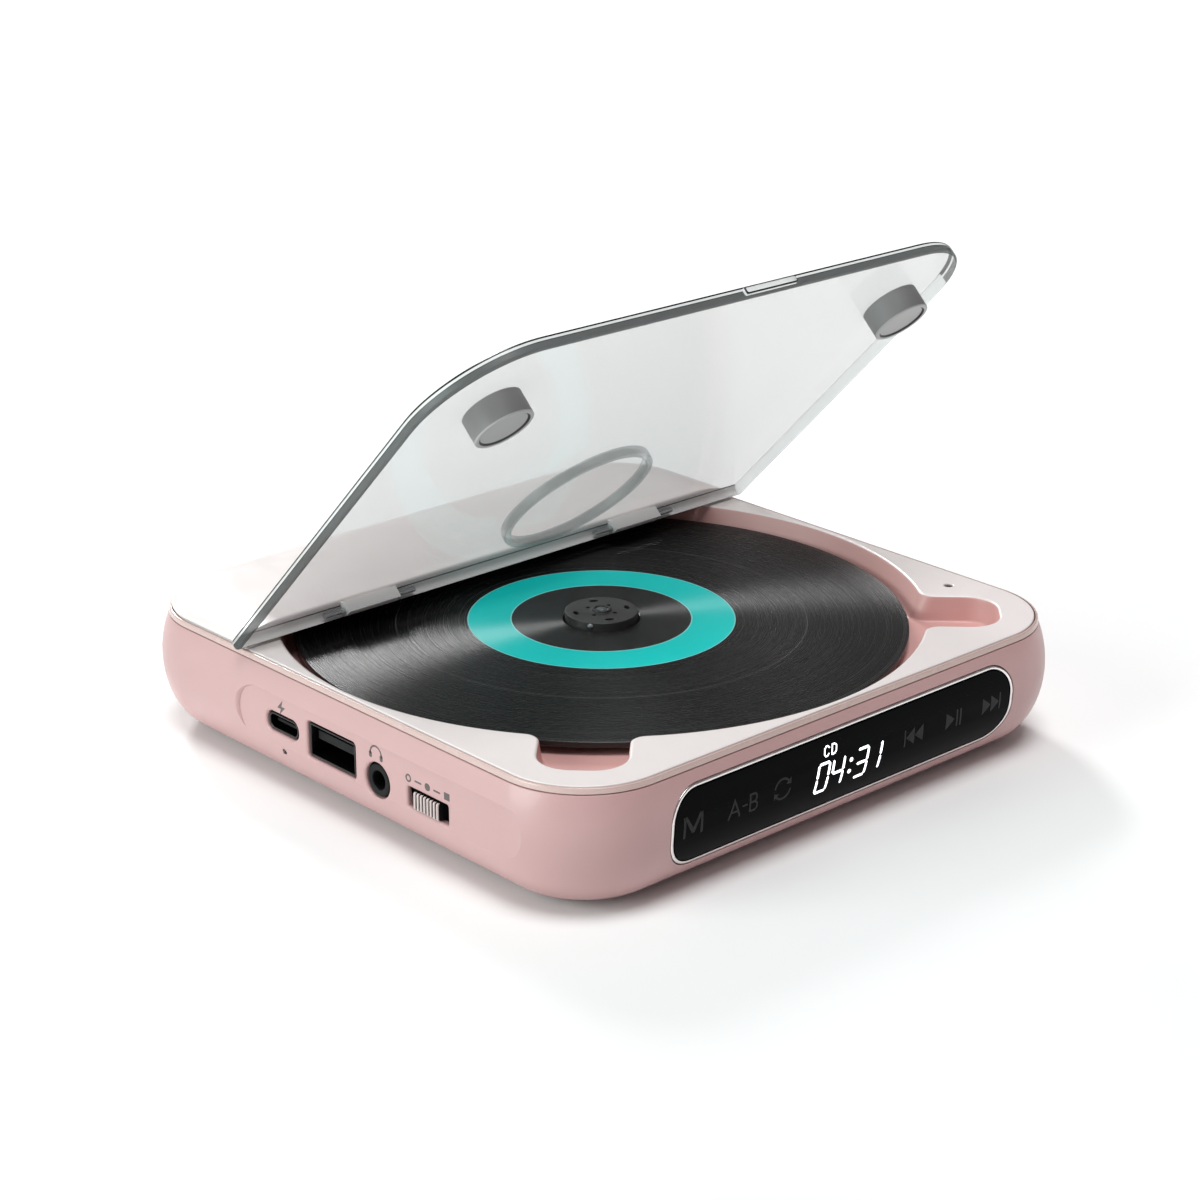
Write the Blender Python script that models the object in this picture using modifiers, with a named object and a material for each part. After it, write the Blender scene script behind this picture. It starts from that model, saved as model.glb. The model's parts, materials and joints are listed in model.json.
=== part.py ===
"""Portable CD player.

A square, round-edged body with a disc well in its top deck, a clear lid hinged
along a raised rear strip, connectors on its left side and a touch panel along
its front.

Metres, +Z up. The origin is on the surface the player stands on, under the
middle of its body. The panel faces -Y, the connectors face -X and the lid
stands open.
"""
import math

import bmesh
import bpy
from mathutils import Matrix
from mathutils import Vector

CLEARANCE = 0.0003
OVERSHOOT = 0.002

# Disc
DISC_RADIUS = 0.060
DISC_THICKNESS = 0.0012
DISC_HOLE_RADIUS = 0.0075

# Well and deck
DISC_DROP = 0.0026
UNDER_DISC_GAP = 0.0015
WELL_GAP = 0.0033
WELL_DRAFT = 0.0020
WELL_LIP = 0.0003
WELL_FLOOR = 0.0012
WELL_WALL = 0.0012
RIM_WIDTH = 0.0011
DECK_SKIN = 0.0016
DECK_EDGE_BEVEL = 0.00025
WELL_STEPS = 80
SPINDLE_HOLE_RADIUS = 0.0100
LENS_SLOT_MARGIN = 0.0012
LENS_SLOT_END = 0.0005

# Body
FOOT_HEIGHT = 0.0012
BODY_HEIGHT = 0.0237
BELLY_HEIGHT = 0.0138
SIDE_BULGE = 0.0026
BODY_CORNER = 0.0195
SHELL_WALL = 0.0015
SHELL_TOP_INSET = 0.00176
SHELL_BASE_INSET = 0.0085
BOTTOM_FLANGE = 0.0030
TRIM_HEIGHT = 0.0010
TRIM_GAP = 0.00025
TRIM_LEAN = 0.00015
CORNER_STEPS = 7
BELLY_STEPS = 7

# Finger notches in the deck's front corners
NOTCH_HALF = 0.0080
NOTCH_REACH = 0.0140
NOTCH_START_SHARE = 0.8
NOTCH_END_RADIUS = 0.0062
NOTCH_STEPS = 6

# Lid
LID_THICKNESS = 0.0025
LID_OVERHANG = 0.0026
LID_SIDE_INSET = 0.0004
LID_CORNER = 0.0195
LID_OPEN_DEG = 46.0
HINGE_Y = 0.0285
LID_PAD_RADIUS = 0.00575
LID_PAD_HEIGHT = 0.0050
LID_PAD_END_GAP = 0.00055
LID_PAD_LIP = 0.0008
LID_PAD_DISH = 0.0004
LID_GLUE = 0.0002
LID_RING_RADIUS = 0.0165
LID_RING_WIDTH = 0.0015
LID_RING_HEIGHT = 0.0020
LID_TAB_WIDTH = 0.0130
LID_TAB_REACH = 0.0008
LID_TAB_X = 0.0060
LID_TAB_ROOT = 0.0020
LID_TAB_STEP = 0.0005
KNUCKLE_X = 0.0350
KNUCKLE_WIDTH = 0.0120
HINGE_PIN_RADIUS = 0.0006
HINGE_PIN_REACH = 0.0050
HINGE_BORE_GAP = 0.00015
HINGE_STEPS = 20
KNUCKLE_ROOT = 0.0010

# Raised strip behind the lid
STRIP_HEIGHT = 0.0030
STRIP_SHOULDER = 0.0120
STRIP_STEPS = 6
STRIP_OVERHANG = 0.0002

# Touch panel on the front
PANEL_HALF = 0.0441
PANEL_HEIGHT = 0.0140
PANEL_MIDDLE_Z = 0.01345
PANEL_CORNER = 0.0058
PANEL_THICKNESS = 0.0012
PANEL_RIM_WIDTH = 0.0006
PANEL_GAP = 0.0002
PANEL_STEPS = 8
DISPLAY_SIZE = (0.0300, 0.0018, 0.0076)
BOARD_THICKNESS = 0.0012
TOUCH_BOARD_INSET = 0.0045
TOUCH_BOARD_LIFT = 0.0020
PANEL_BACK_GAP = 0.0018

# Connector row on the left side
PORT_FLAT_DEPTH = 0.00065
PORT_FLAT_END_Y = 0.0286
PORT_FLAT_HEIGHT = 0.0110
PORT_GAP = 0.00035
PORT_SETBACK = 0.0004
USB_C_Y = 0.0154
USB_C_SIZE = (0.0075, 0.0091, 0.0033)
USB_A_Y = 0.0005
USB_A_SIZE = (0.0140, 0.0136, 0.0065)
USB_ROW_Z = 0.0138
CONNECTOR_SKIN = 0.0004
CONNECTOR_BACK = 0.0015
TONGUE_INSET = 0.0010
USB_C_TONGUE = (0.0066, 0.0007, 0.0)
USB_A_TONGUE = (0.0110, 0.0018, 0.0010)
USB_A_CORNER = 0.0004
USB_C_CORNER_SHARE = 0.45
LEG_SETBACK = 0.0025
PORT_CUT_DEPTH = 0.0060
JACK_Y = -0.0130
JACK_RADIUS = 0.0031
JACK_BORE_RADIUS = 0.00180
JACK_LENGTH = 0.0130
JACK_BLOCK_HALF = 0.0050
JACK_BLOCK_LAP = 0.0005
LOW_ROW_Z = 0.0122
LED_Z = 0.0084
LED_RADIUS = 0.0005
LED_LENGTH = 0.0022
LED_SETBACK = 0.0001
SWITCH_Y = -0.0273
SWITCH_SLOT = (0.0112, 0.0039)
SWITCH_SLOT_CORNER = 0.0004
SWITCH_TRAVEL = 0.0018
SWITCH_CAP_HEIGHT = 0.0005
SWITCH_RIBS = 6
SWITCH_RIB_DEPTH = 0.0009
SWITCH_GROOVE_SHARE = 0.22
SWITCH_END_GAP = 0.0002
SWITCH_SIDE_GAP = 0.00025
SWITCH_BODY = (0.0045, 0.0060, 0.0019)
KNOB_FLANGE = 0.0005
KNOB_FLANGE_LIP = 0.0002
KNOB_STEM_HALF = 0.0007
KNOB_STEM_LENGTH = 0.0022

# Disc drive
SPINDLE_MOTOR_RADIUS = 0.0115
SPINDLE_MOTOR_HEIGHT = 0.0070
SPINDLE_RADIUS = 0.0010
PLATTER_RADIUS = 0.0140
PLATTER_THICKNESS = 0.0009
SPINDLE_END_GAP = 0.0008
HUB_RISE = 0.0017
HUB_EDGE = 0.0008
HUB_EDGE_SHARE = 0.3
BALL_RADIUS = 0.0007
BALL_RISE = 0.0008
BALL_SINK_SHARE = 0.4
CHASSIS_THICKNESS = 0.0015
CHASSIS_DROP = 0.0020
CHASSIS_LEFT_X = -0.0180
CHASSIS_CORNER = 0.0040
CHASSIS_HUB_RADIUS = 0.0032
SLED_OPENING_MARGIN = 0.0010
LENS_RADIUS = 0.0026
LENS_PARK_RADIUS = 0.0240
LENS_EDGE_MARGIN = 0.0025
LENS_GAP = 0.0012
SLED_BACK = 0.0110
SLED_FRONT = 0.0035
SLED_HALF_Y = 0.0166
SLED_HEIGHT = 0.0038
SLED_CORNER = 0.0010
TURRET_HALF_Y = 0.0075
TURRET_INSET = 0.0020
TURRET_LIP = 0.0005
TURRET_RISE = 0.0012
NUT_START = 0.0030
NUT_END = 0.0100
NUT_HALF = 0.0030
JOIN_LAP = 0.0010
ROD_RADIUS = 0.00125
ROD_GAP = 0.0002
ROD_Y = 0.0135
ROD_DROP = 0.0023
ROD_END_LAP = 0.0005
LEFT_BRACKET_X = 0.0042
BRACKET_THICKNESS = 0.0023
SCREW_BRACKET_THICKNESS = 0.0016
BRACKET_HALF = 0.0022
BRACKET_LAP = 0.0004
SCREW_RADIUS = 0.0015
SCREW_PITCH = 0.0030
SCREW_THREAD = 0.0004
SCREW_RINGS = 3
SCREW_SIDES = 9
SCREW_DROP = 0.0030
SCREW_END_GAP = 0.0002
SCREW_STUB = 0.0040
SCREW_Y = -0.0215
SLED_MOTOR_RADIUS = 0.0042
SLED_MOTOR_LENGTH = 0.0120
SLED_MOTOR_BORE = 0.0060
GROMMET_RADIUS = 0.0032
GROMMET_HEIGHT = 0.0030
GROMMET_INSET = 0.0008
GROMMET_PIN_RISE = 0.0005
GROMMET_PIN_RADIUS = 0.0011

# Electronics
MAIN_BOARD_DEPTH = 0.0420
MAIN_BOARD_LOW_Y = -0.0425
MAIN_BOARD_HIGH_Y = 0.0300
MAIN_BOARD_GAP = 0.0020
BATTERY_SIZE = (0.0380, 0.0560, 0.0050)
BATTERY_CORNER = 0.0015
CHIP_HEIGHT = 0.0012
CHIP_LIFT = 0.0002
CHIPS = (
    ("decoder_chip", 0.45, 0.0020, 0.0060),
    ("motor_driver_chip", 0.75, -0.0120, 0.0040),
    ("audio_chip", 0.75, 0.0180, 0.0035),
)

# Feet, screws and the lid switch
FOOT_RADIUS = 0.0050
FOOT_RECESS = 0.0006
FOOT_X = 0.0360
FOOT_INSET_Y = 0.0200
POST_INSET = 0.0205
POST_RADIUS = 0.0030
POST_CLEAR = 0.0040
SCREW_HEAD_HEIGHT = 0.0007
SCREW_HEAD_GAP = 0.0001
SCREW_SLOT = (0.0030, 0.0004, 0.00025)
SCREW_TIP_ROOM = 0.0010
SCREW_HEAD_RADIUS = 0.0026
SCREW_SHANK_RADIUS = 0.0008
SCREW_LENGTH = 0.0085
SENSOR_HOLE_RADIUS = 0.0009
SENSOR_PIN_RADIUS = 0.0006
SENSOR_X_INSET = 0.0060
SENSOR_Y = -0.0385
SENSOR_SINK = 0.0003
SENSOR_PIN_LENGTH = 0.0075
SENSOR_BODY_HALF = 0.0030
SENSOR_BODY_HEIGHT = 0.0045
SENSOR_BORE = 0.0030

# Levels and outlines that follow from the sizes above
BASE_Z = FOOT_HEIGHT
DECK_Z = BASE_Z + BODY_HEIGHT
BELLY_Z = BASE_Z + BELLY_HEIGHT
FLANGE_Z = BASE_Z + SHELL_WALL
DISC_TOP_Z = DECK_Z - DISC_DROP
DISC_LOW_Z = DISC_TOP_Z - DISC_THICKNESS
FLOOR_Z = DISC_LOW_Z - UNDER_DISC_GAP
FLOOR_UNDER_Z = FLOOR_Z - WELL_FLOOR
TRIM_TOP_Z = DECK_Z - TRIM_LEAN
TRIM_LOW_Z = TRIM_TOP_Z - TRIM_HEIGHT
SHELL_TOP_Z = TRIM_LOW_Z - TRIM_GAP
WELL_RADIUS = DISC_RADIUS + WELL_GAP
DECK_HALF = WELL_RADIUS + RIM_WIDTH
BODY_HALF = DECK_HALF + SIDE_BULGE
DECK_INSET = SIDE_BULGE
LIP_INSET = DECK_INSET - TRIM_GAP
OPENING_INSET = SHELL_BASE_INSET + BOTTOM_FLANGE
HINGE_Z = DECK_Z + CLEARANCE + LID_THICKNESS / 2
LID_HALF = BODY_HALF - LID_SIDE_INSET
LID_FRONT_Y = -(DECK_HALF + LID_OVERHANG)
STRIP_Z = DECK_Z + CLEARANCE
STRIP_FRONT_Y = HINGE_Y + LID_THICKNESS / 2 + CLEARANCE
NOTCH_END = WELL_RADIUS + NOTCH_REACH
PAD_XY = (NOTCH_END - LID_PAD_END_GAP - LID_PAD_RADIUS) / math.sqrt(2)
POST_XY = BODY_HALF - POST_INSET
FOOT_Y = BODY_HALF - FOOT_INSET_Y
PANEL_FRAME = PANEL_GAP + PANEL_RIM_WIDTH + PANEL_GAP
PORT_X = -(BODY_HALF - PORT_FLAT_DEPTH)
CONNECTOR_X = PORT_X + PORT_SETBACK
GROMMET_Y = NUT_HALF - SCREW_Y + CLEARANCE + GROMMET_RADIUS
CHASSIS_HALF_Y = GROMMET_Y + GROMMET_RADIUS
CHASSIS_TOP_Z = FLOOR_UNDER_Z - CHASSIS_DROP
CHASSIS_LOW_Z = CHASSIS_TOP_Z - CHASSIS_THICKNESS
LENS_MAX_RADIUS = DISC_RADIUS - LENS_EDGE_MARGIN
SLED_TRAVEL = LENS_MAX_RADIUS - LENS_PARK_RADIUS
RIGHT_BRACKET_X = LENS_MAX_RADIUS + SLED_FRONT + 2 * CLEARANCE
CHASSIS_RIGHT_X = RIGHT_BRACKET_X + BRACKET_THICKNESS
SCREW_END_X = RIGHT_BRACKET_X + SCREW_BRACKET_THICKNESS
ROD_Z = CHASSIS_LOW_Z - ROD_DROP
SCREW_Z = ROD_Z - SCREW_DROP
SENSOR_X = DECK_HALF - SENSOR_X_INSET
BOARD_TOP_Z = USB_ROW_Z - USB_A_SIZE[2] / 2 - CLEARANCE
SCREW_FLOOR_Z = BASE_Z + SCREW_HEAD_HEIGHT
MAIN_BOARD_X = -(BODY_HALF - SHELL_WALL - MAIN_BOARD_GAP)
PANEL_BACK_Y = -(BODY_HALF - PANEL_THICKNESS - PANEL_BACK_GAP)
TURRET_Z = CHASSIS_TOP_Z + TURRET_RISE

MATERIALS = {
    "rose_shell": ((0.80, 0.58, 0.56, 1.0), 0.45, 0.0),
    "pale_deck": ((0.88, 0.80, 0.79, 1.0), 0.40, 0.0),
    "trim_ring": ((0.90, 0.84, 0.83, 1.0), 0.25, 0.0),
    "clear_lid": ((0.86, 0.90, 0.89, 0.35), 0.05, 0.0),
    "grey_pad": ((0.45, 0.43, 0.43, 1.0), 0.60, 0.0),
    "steel": ((0.62, 0.62, 0.64, 1.0), 0.30, 1.0),
    "panel_glass": ((0.010, 0.010, 0.012, 1.0), 0.06, 0.0),
    "bright_rim": ((0.78, 0.70, 0.69, 1.0), 0.18, 1.0),
    "display": ((0.90, 0.92, 0.95, 1.0), 0.30, 0.0),
    "circuit_board": ((0.02, 0.16, 0.08, 1.0), 0.50, 0.0),
    "chip": ((0.02, 0.02, 0.02, 1.0), 0.45, 0.0),
    "battery_wrap": ((0.55, 0.56, 0.58, 1.0), 0.40, 0.0),
    "connector_metal": ((0.60, 0.60, 0.62, 1.0), 0.25, 1.0),
    "black_plastic": ((0.015, 0.015, 0.016, 1.0), 0.40, 0.0),
    "led_lens": ((0.85, 0.90, 0.85, 1.0), 0.15, 0.0),
    "disc_print": ((0.012, 0.012, 0.013, 1.0), 0.25, 0.0),
    "lens_glass": ((0.25, 0.35, 0.55, 1.0), 0.05, 0.0),
    "foot_rubber": ((0.04, 0.04, 0.04, 1.0), 0.80, 0.0),
}


# ---------------------------------------------------------------- scene set-up

def clear_scene():
    """Remove every object the file starts with."""
    for obj in list(bpy.data.objects):
        bpy.data.objects.remove(obj, do_unlink=True)


def new_collection(name):
    """Make a collection and link it to the scene."""
    group = bpy.data.collections.new(name)
    bpy.context.scene.collection.children.link(group)
    return group


def material(name):
    """Make, or find, the Principled material of that name."""
    found = bpy.data.materials.get(name)
    if found:
        return found
    colour, roughness, metallic = MATERIALS[name]
    made = bpy.data.materials.new(name)
    made.use_nodes = True
    shader = made.node_tree.nodes["Principled BSDF"]
    shader.inputs["Base Color"].default_value = colour
    shader.inputs["Roughness"].default_value = roughness
    shader.inputs["Metallic"].default_value = metallic
    shader.inputs["Alpha"].default_value = colour[3]
    made.diffuse_color = colour
    return made


# --------------------------------------------------------------- solid shapes

def solid(bm):
    """Turn a bmesh into an object in the workshop collection."""
    bmesh.ops.recalc_face_normals(bm, faces=bm.faces)
    mesh = bpy.data.meshes.new("solid")
    bm.to_mesh(mesh)
    bm.free()
    obj = bpy.data.objects.new("solid", mesh)
    WORKSHOP.objects.link(obj)
    return obj


def box(low, high):
    """A box between two opposite corners."""
    bm = bmesh.new()
    bmesh.ops.create_cube(bm, size=1.0)
    low = Vector(low)
    high = Vector(high)
    bmesh.ops.scale(bm, vec=high - low, verts=bm.verts)
    bmesh.ops.translate(bm, vec=(low + high) / 2, verts=bm.verts)
    return solid(bm)


def rounded_box(low, high, radius, axis, segments=4):
    """A box whose four edges along one axis (0, 1 or 2) are rounded."""
    bm = bmesh.new()
    bmesh.ops.create_cube(bm, size=1.0)
    low = Vector(low)
    high = Vector(high)
    bmesh.ops.scale(bm, vec=high - low, verts=bm.verts)
    bmesh.ops.translate(bm, vec=(low + high) / 2, verts=bm.verts)
    along = []
    for edge in bm.edges:
        span = edge.verts[0].co - edge.verts[1].co
        if abs(span[axis]) > 0.5 * span.length:
            along.append(edge)
    bmesh.ops.bevel(bm, geom=along, offset=radius, segments=segments,
                    affect="EDGES", profile=0.5)
    return solid(bm)


def cylinder(radius, low, high, axis=2, steps=24):
    """A round bar from the point low to the point high along one axis."""
    low = Vector(low)
    high = Vector(high)
    bm = bmesh.new()
    bmesh.ops.create_cone(bm, cap_ends=True, segments=steps, radius1=radius,
                          radius2=radius, depth=(high - low).length)
    turn = {0: Matrix.Rotation(math.pi / 2, 3, "Y"),
            1: Matrix.Rotation(-math.pi / 2, 3, "X"),
            2: Matrix.Identity(3)}[axis]
    bmesh.ops.rotate(bm, matrix=turn, verts=bm.verts)
    bmesh.ops.translate(bm, vec=(low + high) / 2, verts=bm.verts)
    return solid(bm)


def bar_x(radius, low_x, high_x, y, z, steps=16):
    """A round bar along X between two places."""
    return cylinder(radius, (low_x, y, z), (high_x, y, z), axis=0, steps=steps)


def bar_z(radius, x, y, low_z, high_z, steps=16):
    """A round bar along Z between two heights."""
    return cylinder(radius, (x, y, low_z), (x, y, high_z), axis=2, steps=steps)


def ball(radius, centre):
    """A small sphere."""
    bm = bmesh.new()
    bmesh.ops.create_uvsphere(bm, u_segments=10, v_segments=6, radius=radius)
    bmesh.ops.translate(bm, vec=centre, verts=bm.verts)
    return solid(bm)


def turned(profile, steps, centre=(0.0, 0.0)):
    """Turn a profile of (radius, height) points, listed top to bottom."""
    bm = bmesh.new()
    points = [bm.verts.new((radius, 0.0, height)) for radius, height in profile]
    for first, second in zip(points, points[1:]):
        bm.edges.new((first, second))
    if profile[0][0] > 0:
        bm.edges.new((points[-1], points[0]))
    mesh = bpy.data.meshes.new("turned")
    bm.to_mesh(mesh)
    bm.free()
    obj = bpy.data.objects.new("turned", mesh)
    WORKSHOP.objects.link(obj)
    screw = obj.modifiers.new("turn", "SCREW")
    screw.steps = steps
    screw.render_steps = steps
    screw.use_merge_vertices = True
    screw.merge_threshold = 0.00001
    apply_modifier(obj, screw)
    bm = bmesh.new()
    bm.from_mesh(obj.data)
    bmesh.ops.remove_doubles(bm, verts=bm.verts, dist=0.000001)
    bmesh.ops.recalc_face_normals(bm, faces=bm.faces)
    bm.to_mesh(obj.data)
    bm.free()
    obj.data.transform(Matrix.Translation((centre[0], centre[1], 0.0)))
    return obj


def tube(outer, inner, low_z, high_z, steps, centre=(0.0, 0.0)):
    """A round tube, or a plate with a hole, between two heights."""
    return turned([(outer, high_z), (outer, low_z), (inner, low_z), (inner, high_z)],
                  steps, centre)


def rounded_ring(inset, z):
    """The body's rounded square, set in from its widest line, at height z."""
    half = BODY_HALF - inset
    radius = max(BODY_CORNER - inset, 0.001)
    ring = []
    for quarter in range(4):
        turn = Matrix.Rotation(quarter * math.pi / 2, 2)
        for step in range(CORNER_STEPS + 1):
            angle = step / CORNER_STEPS * math.pi / 2
            corner = Vector((half - radius + radius * math.cos(angle),
                             half - radius + radius * math.sin(angle)))
            x, y = turn @ corner
            ring.append(Vector((x, y, z)))
    return ring


def loft(rings, closed):
    """Skin between rings of equal count; cap the ends, or close on itself."""
    bm = bmesh.new()
    rows = [[bm.verts.new(point) for point in ring] for ring in rings]
    pairs = list(zip(rows, rows[1:]))
    if closed:
        pairs.append((rows[-1], rows[0]))
    else:
        bm.faces.new(rows[0])
        bm.faces.new(rows[-1])
    for lower, upper in pairs:
        for index in range(len(lower)):
            after = (index + 1) % len(lower)
            bm.faces.new((lower[index], lower[after], upper[after], upper[index]))
    return solid(bm)


# ------------------------------------------------------- combining and naming

def apply_modifier(obj, modifier):
    """Apply one modifier to an object."""
    bpy.context.view_layer.objects.active = obj
    bpy.ops.object.modifier_apply(modifier=modifier.name)


def combine(target, tool, operation):
    """Boolean a tool into the target and remove the tool."""
    modifier = target.modifiers.new("combine", "BOOLEAN")
    modifier.operation = operation
    modifier.object = tool
    apply_modifier(target, modifier)
    bpy.data.objects.remove(tool, do_unlink=True)
    return target


def cut(target, *tools):
    """Take each tool away from the target."""
    for tool in tools:
        combine(target, tool, "DIFFERENCE")
    return target


def join(target, *tools):
    """Fuse each tool to the target."""
    for tool in tools:
        combine(target, tool, "UNION")
    return target


def name_part(obj, name, material_name, carrier=None):
    """Name a finished solid, shade it and hang it on its carrier, if it has one."""
    obj.name = name
    obj.data.name = name
    obj.data.materials.clear()
    obj.data.materials.append(material(material_name))
    obj.data.shade_smooth()
    obj.data.set_sharp_from_angle(angle=math.radians(35))
    WORKSHOP.objects.unlink(obj)
    PLAYER.objects.link(obj)
    if carrier is not None:
        obj.data.transform(Matrix.Translation(-carrier.location))
        obj.parent = carrier
    return obj


def joint_empty(name, location):
    """An empty on a joint's axis, which the moving pieces hang on."""
    empty = bpy.data.objects.new(name, None)
    empty.location = location
    empty.empty_display_size = 0.01
    PLAYER.objects.link(empty)
    return empty


# ----------------------------------------------------------------- body shape

def outer_inset(z):
    """How far the side's outer face lies inside its widest line at height z."""
    if z >= BELLY_Z:
        rise = (z - BELLY_Z) / (SHELL_TOP_Z - BELLY_Z)
        return SHELL_TOP_INSET * rise * rise
    drop = min((BELLY_Z - z) / BELLY_HEIGHT, 1.0)
    return SHELL_BASE_INSET * (1.0 - math.sqrt(1.0 - drop * drop))


def inner_inset(z):
    """The same for the side's inner face."""
    if z >= BELLY_Z:
        rise = (z - BELLY_Z) / (SHELL_TOP_Z - BELLY_Z)
        return SHELL_WALL + (LIP_INSET - SHELL_WALL) * rise * rise
    drop = min((BELLY_Z - z) / (BELLY_HEIGHT - SHELL_WALL), 1.0)
    bend = SHELL_BASE_INSET - SHELL_WALL
    return SHELL_WALL + bend * (1.0 - math.sqrt(1.0 - drop * drop))


def side_levels(floor_z):
    """Heights from the side's foot to its top edge, close where it curves."""
    levels = []
    for step in range(BELLY_STEPS + 1):
        angle = (1.0 - step / BELLY_STEPS) * math.pi / 2
        levels.append(BELLY_Z - (BELLY_Z - floor_z) * math.sin(angle))
    top_steps = BELLY_STEPS // 2
    for step in range(1, top_steps + 1):
        levels.append(BELLY_Z + (SHELL_TOP_Z - BELLY_Z) * step / top_steps)
    return levels


def side_solid(extra_inset=0.0):
    """The whole body as one filled solid, for cutting curved front pieces."""
    rings = [rounded_ring(outer_inset(z) + extra_inset, z) for z in side_levels(BASE_Z)]
    return loft(rings, closed=False)


def panel_prism(grow, front_y, back_y):
    """The touch panel's outline, grown by a margin, as a prism along Y."""
    half_height = PANEL_HEIGHT / 2 + grow
    low = (-PANEL_HALF - grow, front_y, PANEL_MIDDLE_Z - half_height)
    high = (PANEL_HALF + grow, back_y, PANEL_MIDDLE_Z + half_height)
    return rounded_box(low, high, PANEL_CORNER + grow, axis=1, segments=PANEL_STEPS)


def curved_panel(grow, thickness):
    """A front piece that follows the side's curve, with the panel's outline."""
    piece = side_solid()
    combine(piece, panel_prism(grow, -BODY_HALF - OVERSHOOT, -BODY_HALF / 2), "INTERSECT")
    return cut(piece, side_solid(extra_inset=thickness))


def port_prism(y, z, width, height, corner, grow):
    """A connector's outline, grown by a margin, cut through the left side."""
    low = (-BODY_HALF - OVERSHOOT, y - width / 2 - grow, z - height / 2 - grow)
    high = (PORT_X + PORT_CUT_DEPTH, y + width / 2 + grow, z + height / 2 + grow)
    return rounded_box(low, high, corner + grow, axis=0)


def port_flat():
    """The tool for the flat that the connectors stand in, round at its rear end."""
    half = PORT_FLAT_HEIGHT / 2
    end_y = PORT_FLAT_END_Y - half
    outside = -BODY_HALF - OVERSHOOT
    flat = box((outside, -BODY_HALF, USB_ROW_Z - half), (PORT_X, end_y, USB_ROW_Z + half))
    return join(flat, bar_x(half, outside, PORT_X, end_y, USB_ROW_Z, steps=32))


def side_shell():
    """The rose side wall, from the seam under the deck to the bottom opening."""
    rings = [rounded_ring(OPENING_INSET, BASE_Z)]
    rings += [rounded_ring(outer_inset(z), z) for z in side_levels(BASE_Z)]
    rings += [rounded_ring(inner_inset(z), z) for z in reversed(side_levels(FLANGE_Z))]
    rings.append(rounded_ring(OPENING_INSET, FLANGE_Z))
    shell = loft(rings, closed=True)
    outside = -BODY_HALF - OVERSHOOT
    inside = PORT_X + PORT_CUT_DEPTH
    jack_hole = bar_x(JACK_RADIUS + PORT_GAP, outside, inside, JACK_Y, LOW_ROW_Z, steps=32)
    led_hole = bar_x(LED_RADIUS + CLEARANCE, outside, inside, USB_C_Y, LED_Z, steps=12)
    usb_c_hole = port_prism(USB_C_Y, USB_ROW_Z, USB_C_SIZE[1], USB_C_SIZE[2],
                            USB_C_SIZE[2] * USB_C_CORNER_SHARE, PORT_GAP)
    usb_a_hole = port_prism(USB_A_Y, USB_ROW_Z, USB_A_SIZE[1], USB_A_SIZE[2],
                            USB_A_CORNER, PORT_GAP)
    switch_hole = port_prism(SWITCH_Y, LOW_ROW_Z, SWITCH_SLOT[0], SWITCH_SLOT[1],
                             SWITCH_SLOT_CORNER, 0.0)
    panel_hole = panel_prism(PANEL_FRAME, outside, -DECK_HALF + OVERSHOOT)
    return cut(shell, port_flat(), jack_hole, led_hole, usb_c_hole, usb_a_hole,
               switch_hole, panel_hole)


def trim_ring():
    """The thin pale band between the deck's edge and the side shell."""
    return loft([rounded_ring(SHELL_TOP_INSET, TRIM_LOW_Z),
                 rounded_ring(SHELL_TOP_INSET + TRIM_LEAN, TRIM_TOP_Z),
                 rounded_ring(LIP_INSET, TRIM_TOP_Z),
                 rounded_ring(LIP_INSET, TRIM_LOW_Z)], closed=True)


def notch_prism(side, grow, low_z, high_z):
    """A finger notch's outline along a front corner's diagonal, as a prism."""
    start = WELL_RADIUS * NOTCH_START_SHARE
    prism = rounded_box((start, -NOTCH_HALF - grow, low_z),
                        (NOTCH_END + grow, NOTCH_HALF + grow, high_z),
                        NOTCH_END_RADIUS + grow, axis=2, segments=NOTCH_STEPS)
    heading = -math.pi / 4 if side > 0 else -3 * math.pi / 4
    prism.data.transform(Matrix.Rotation(heading, 4, "Z"))
    return prism


def well_tool():
    """The disc well: a slightly tapered round recess with a chamfered lip."""
    above = DECK_Z + OVERSHOOT
    low_radius = WELL_RADIUS - WELL_DRAFT
    return turned([(0.0, above),
                   (WELL_RADIUS + WELL_LIP, above),
                   (WELL_RADIUS + WELL_LIP, DECK_Z),
                   (WELL_RADIUS, DECK_Z - WELL_LIP),
                   (low_radius, FLOOR_Z),
                   (0.0, FLOOR_Z)], WELL_STEPS)


def corner_hollow():
    """The hollow under the deck's corners, outside the well's wall."""
    side_inset = DECK_INSET + WELL_WALL
    low_z = FLOOR_UNDER_Z - OVERSHOOT
    high_z = DECK_Z - DECK_SKIN
    below = low_z - OVERSHOOT
    above = high_z + OVERSHOOT
    hollow = loft([rounded_ring(side_inset, low_z), rounded_ring(side_inset, high_z)],
                  closed=False)
    cut(hollow, bar_z(WELL_RADIUS + WELL_WALL, 0.0, 0.0, below, above, steps=WELL_STEPS))
    for side in (-1, 1):
        post_x = side * POST_XY
        cut(hollow,
            notch_prism(side, WELL_WALL, below, above),
            box((post_x - POST_CLEAR, POST_XY - POST_CLEAR, below),
                (post_x + POST_CLEAR, POST_XY + POST_CLEAR, above)))
    sensor_wall = SENSOR_HOLE_RADIUS + WELL_WALL
    return cut(hollow, bar_z(sensor_wall, SENSOR_X, SENSOR_Y, below, above))


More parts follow.
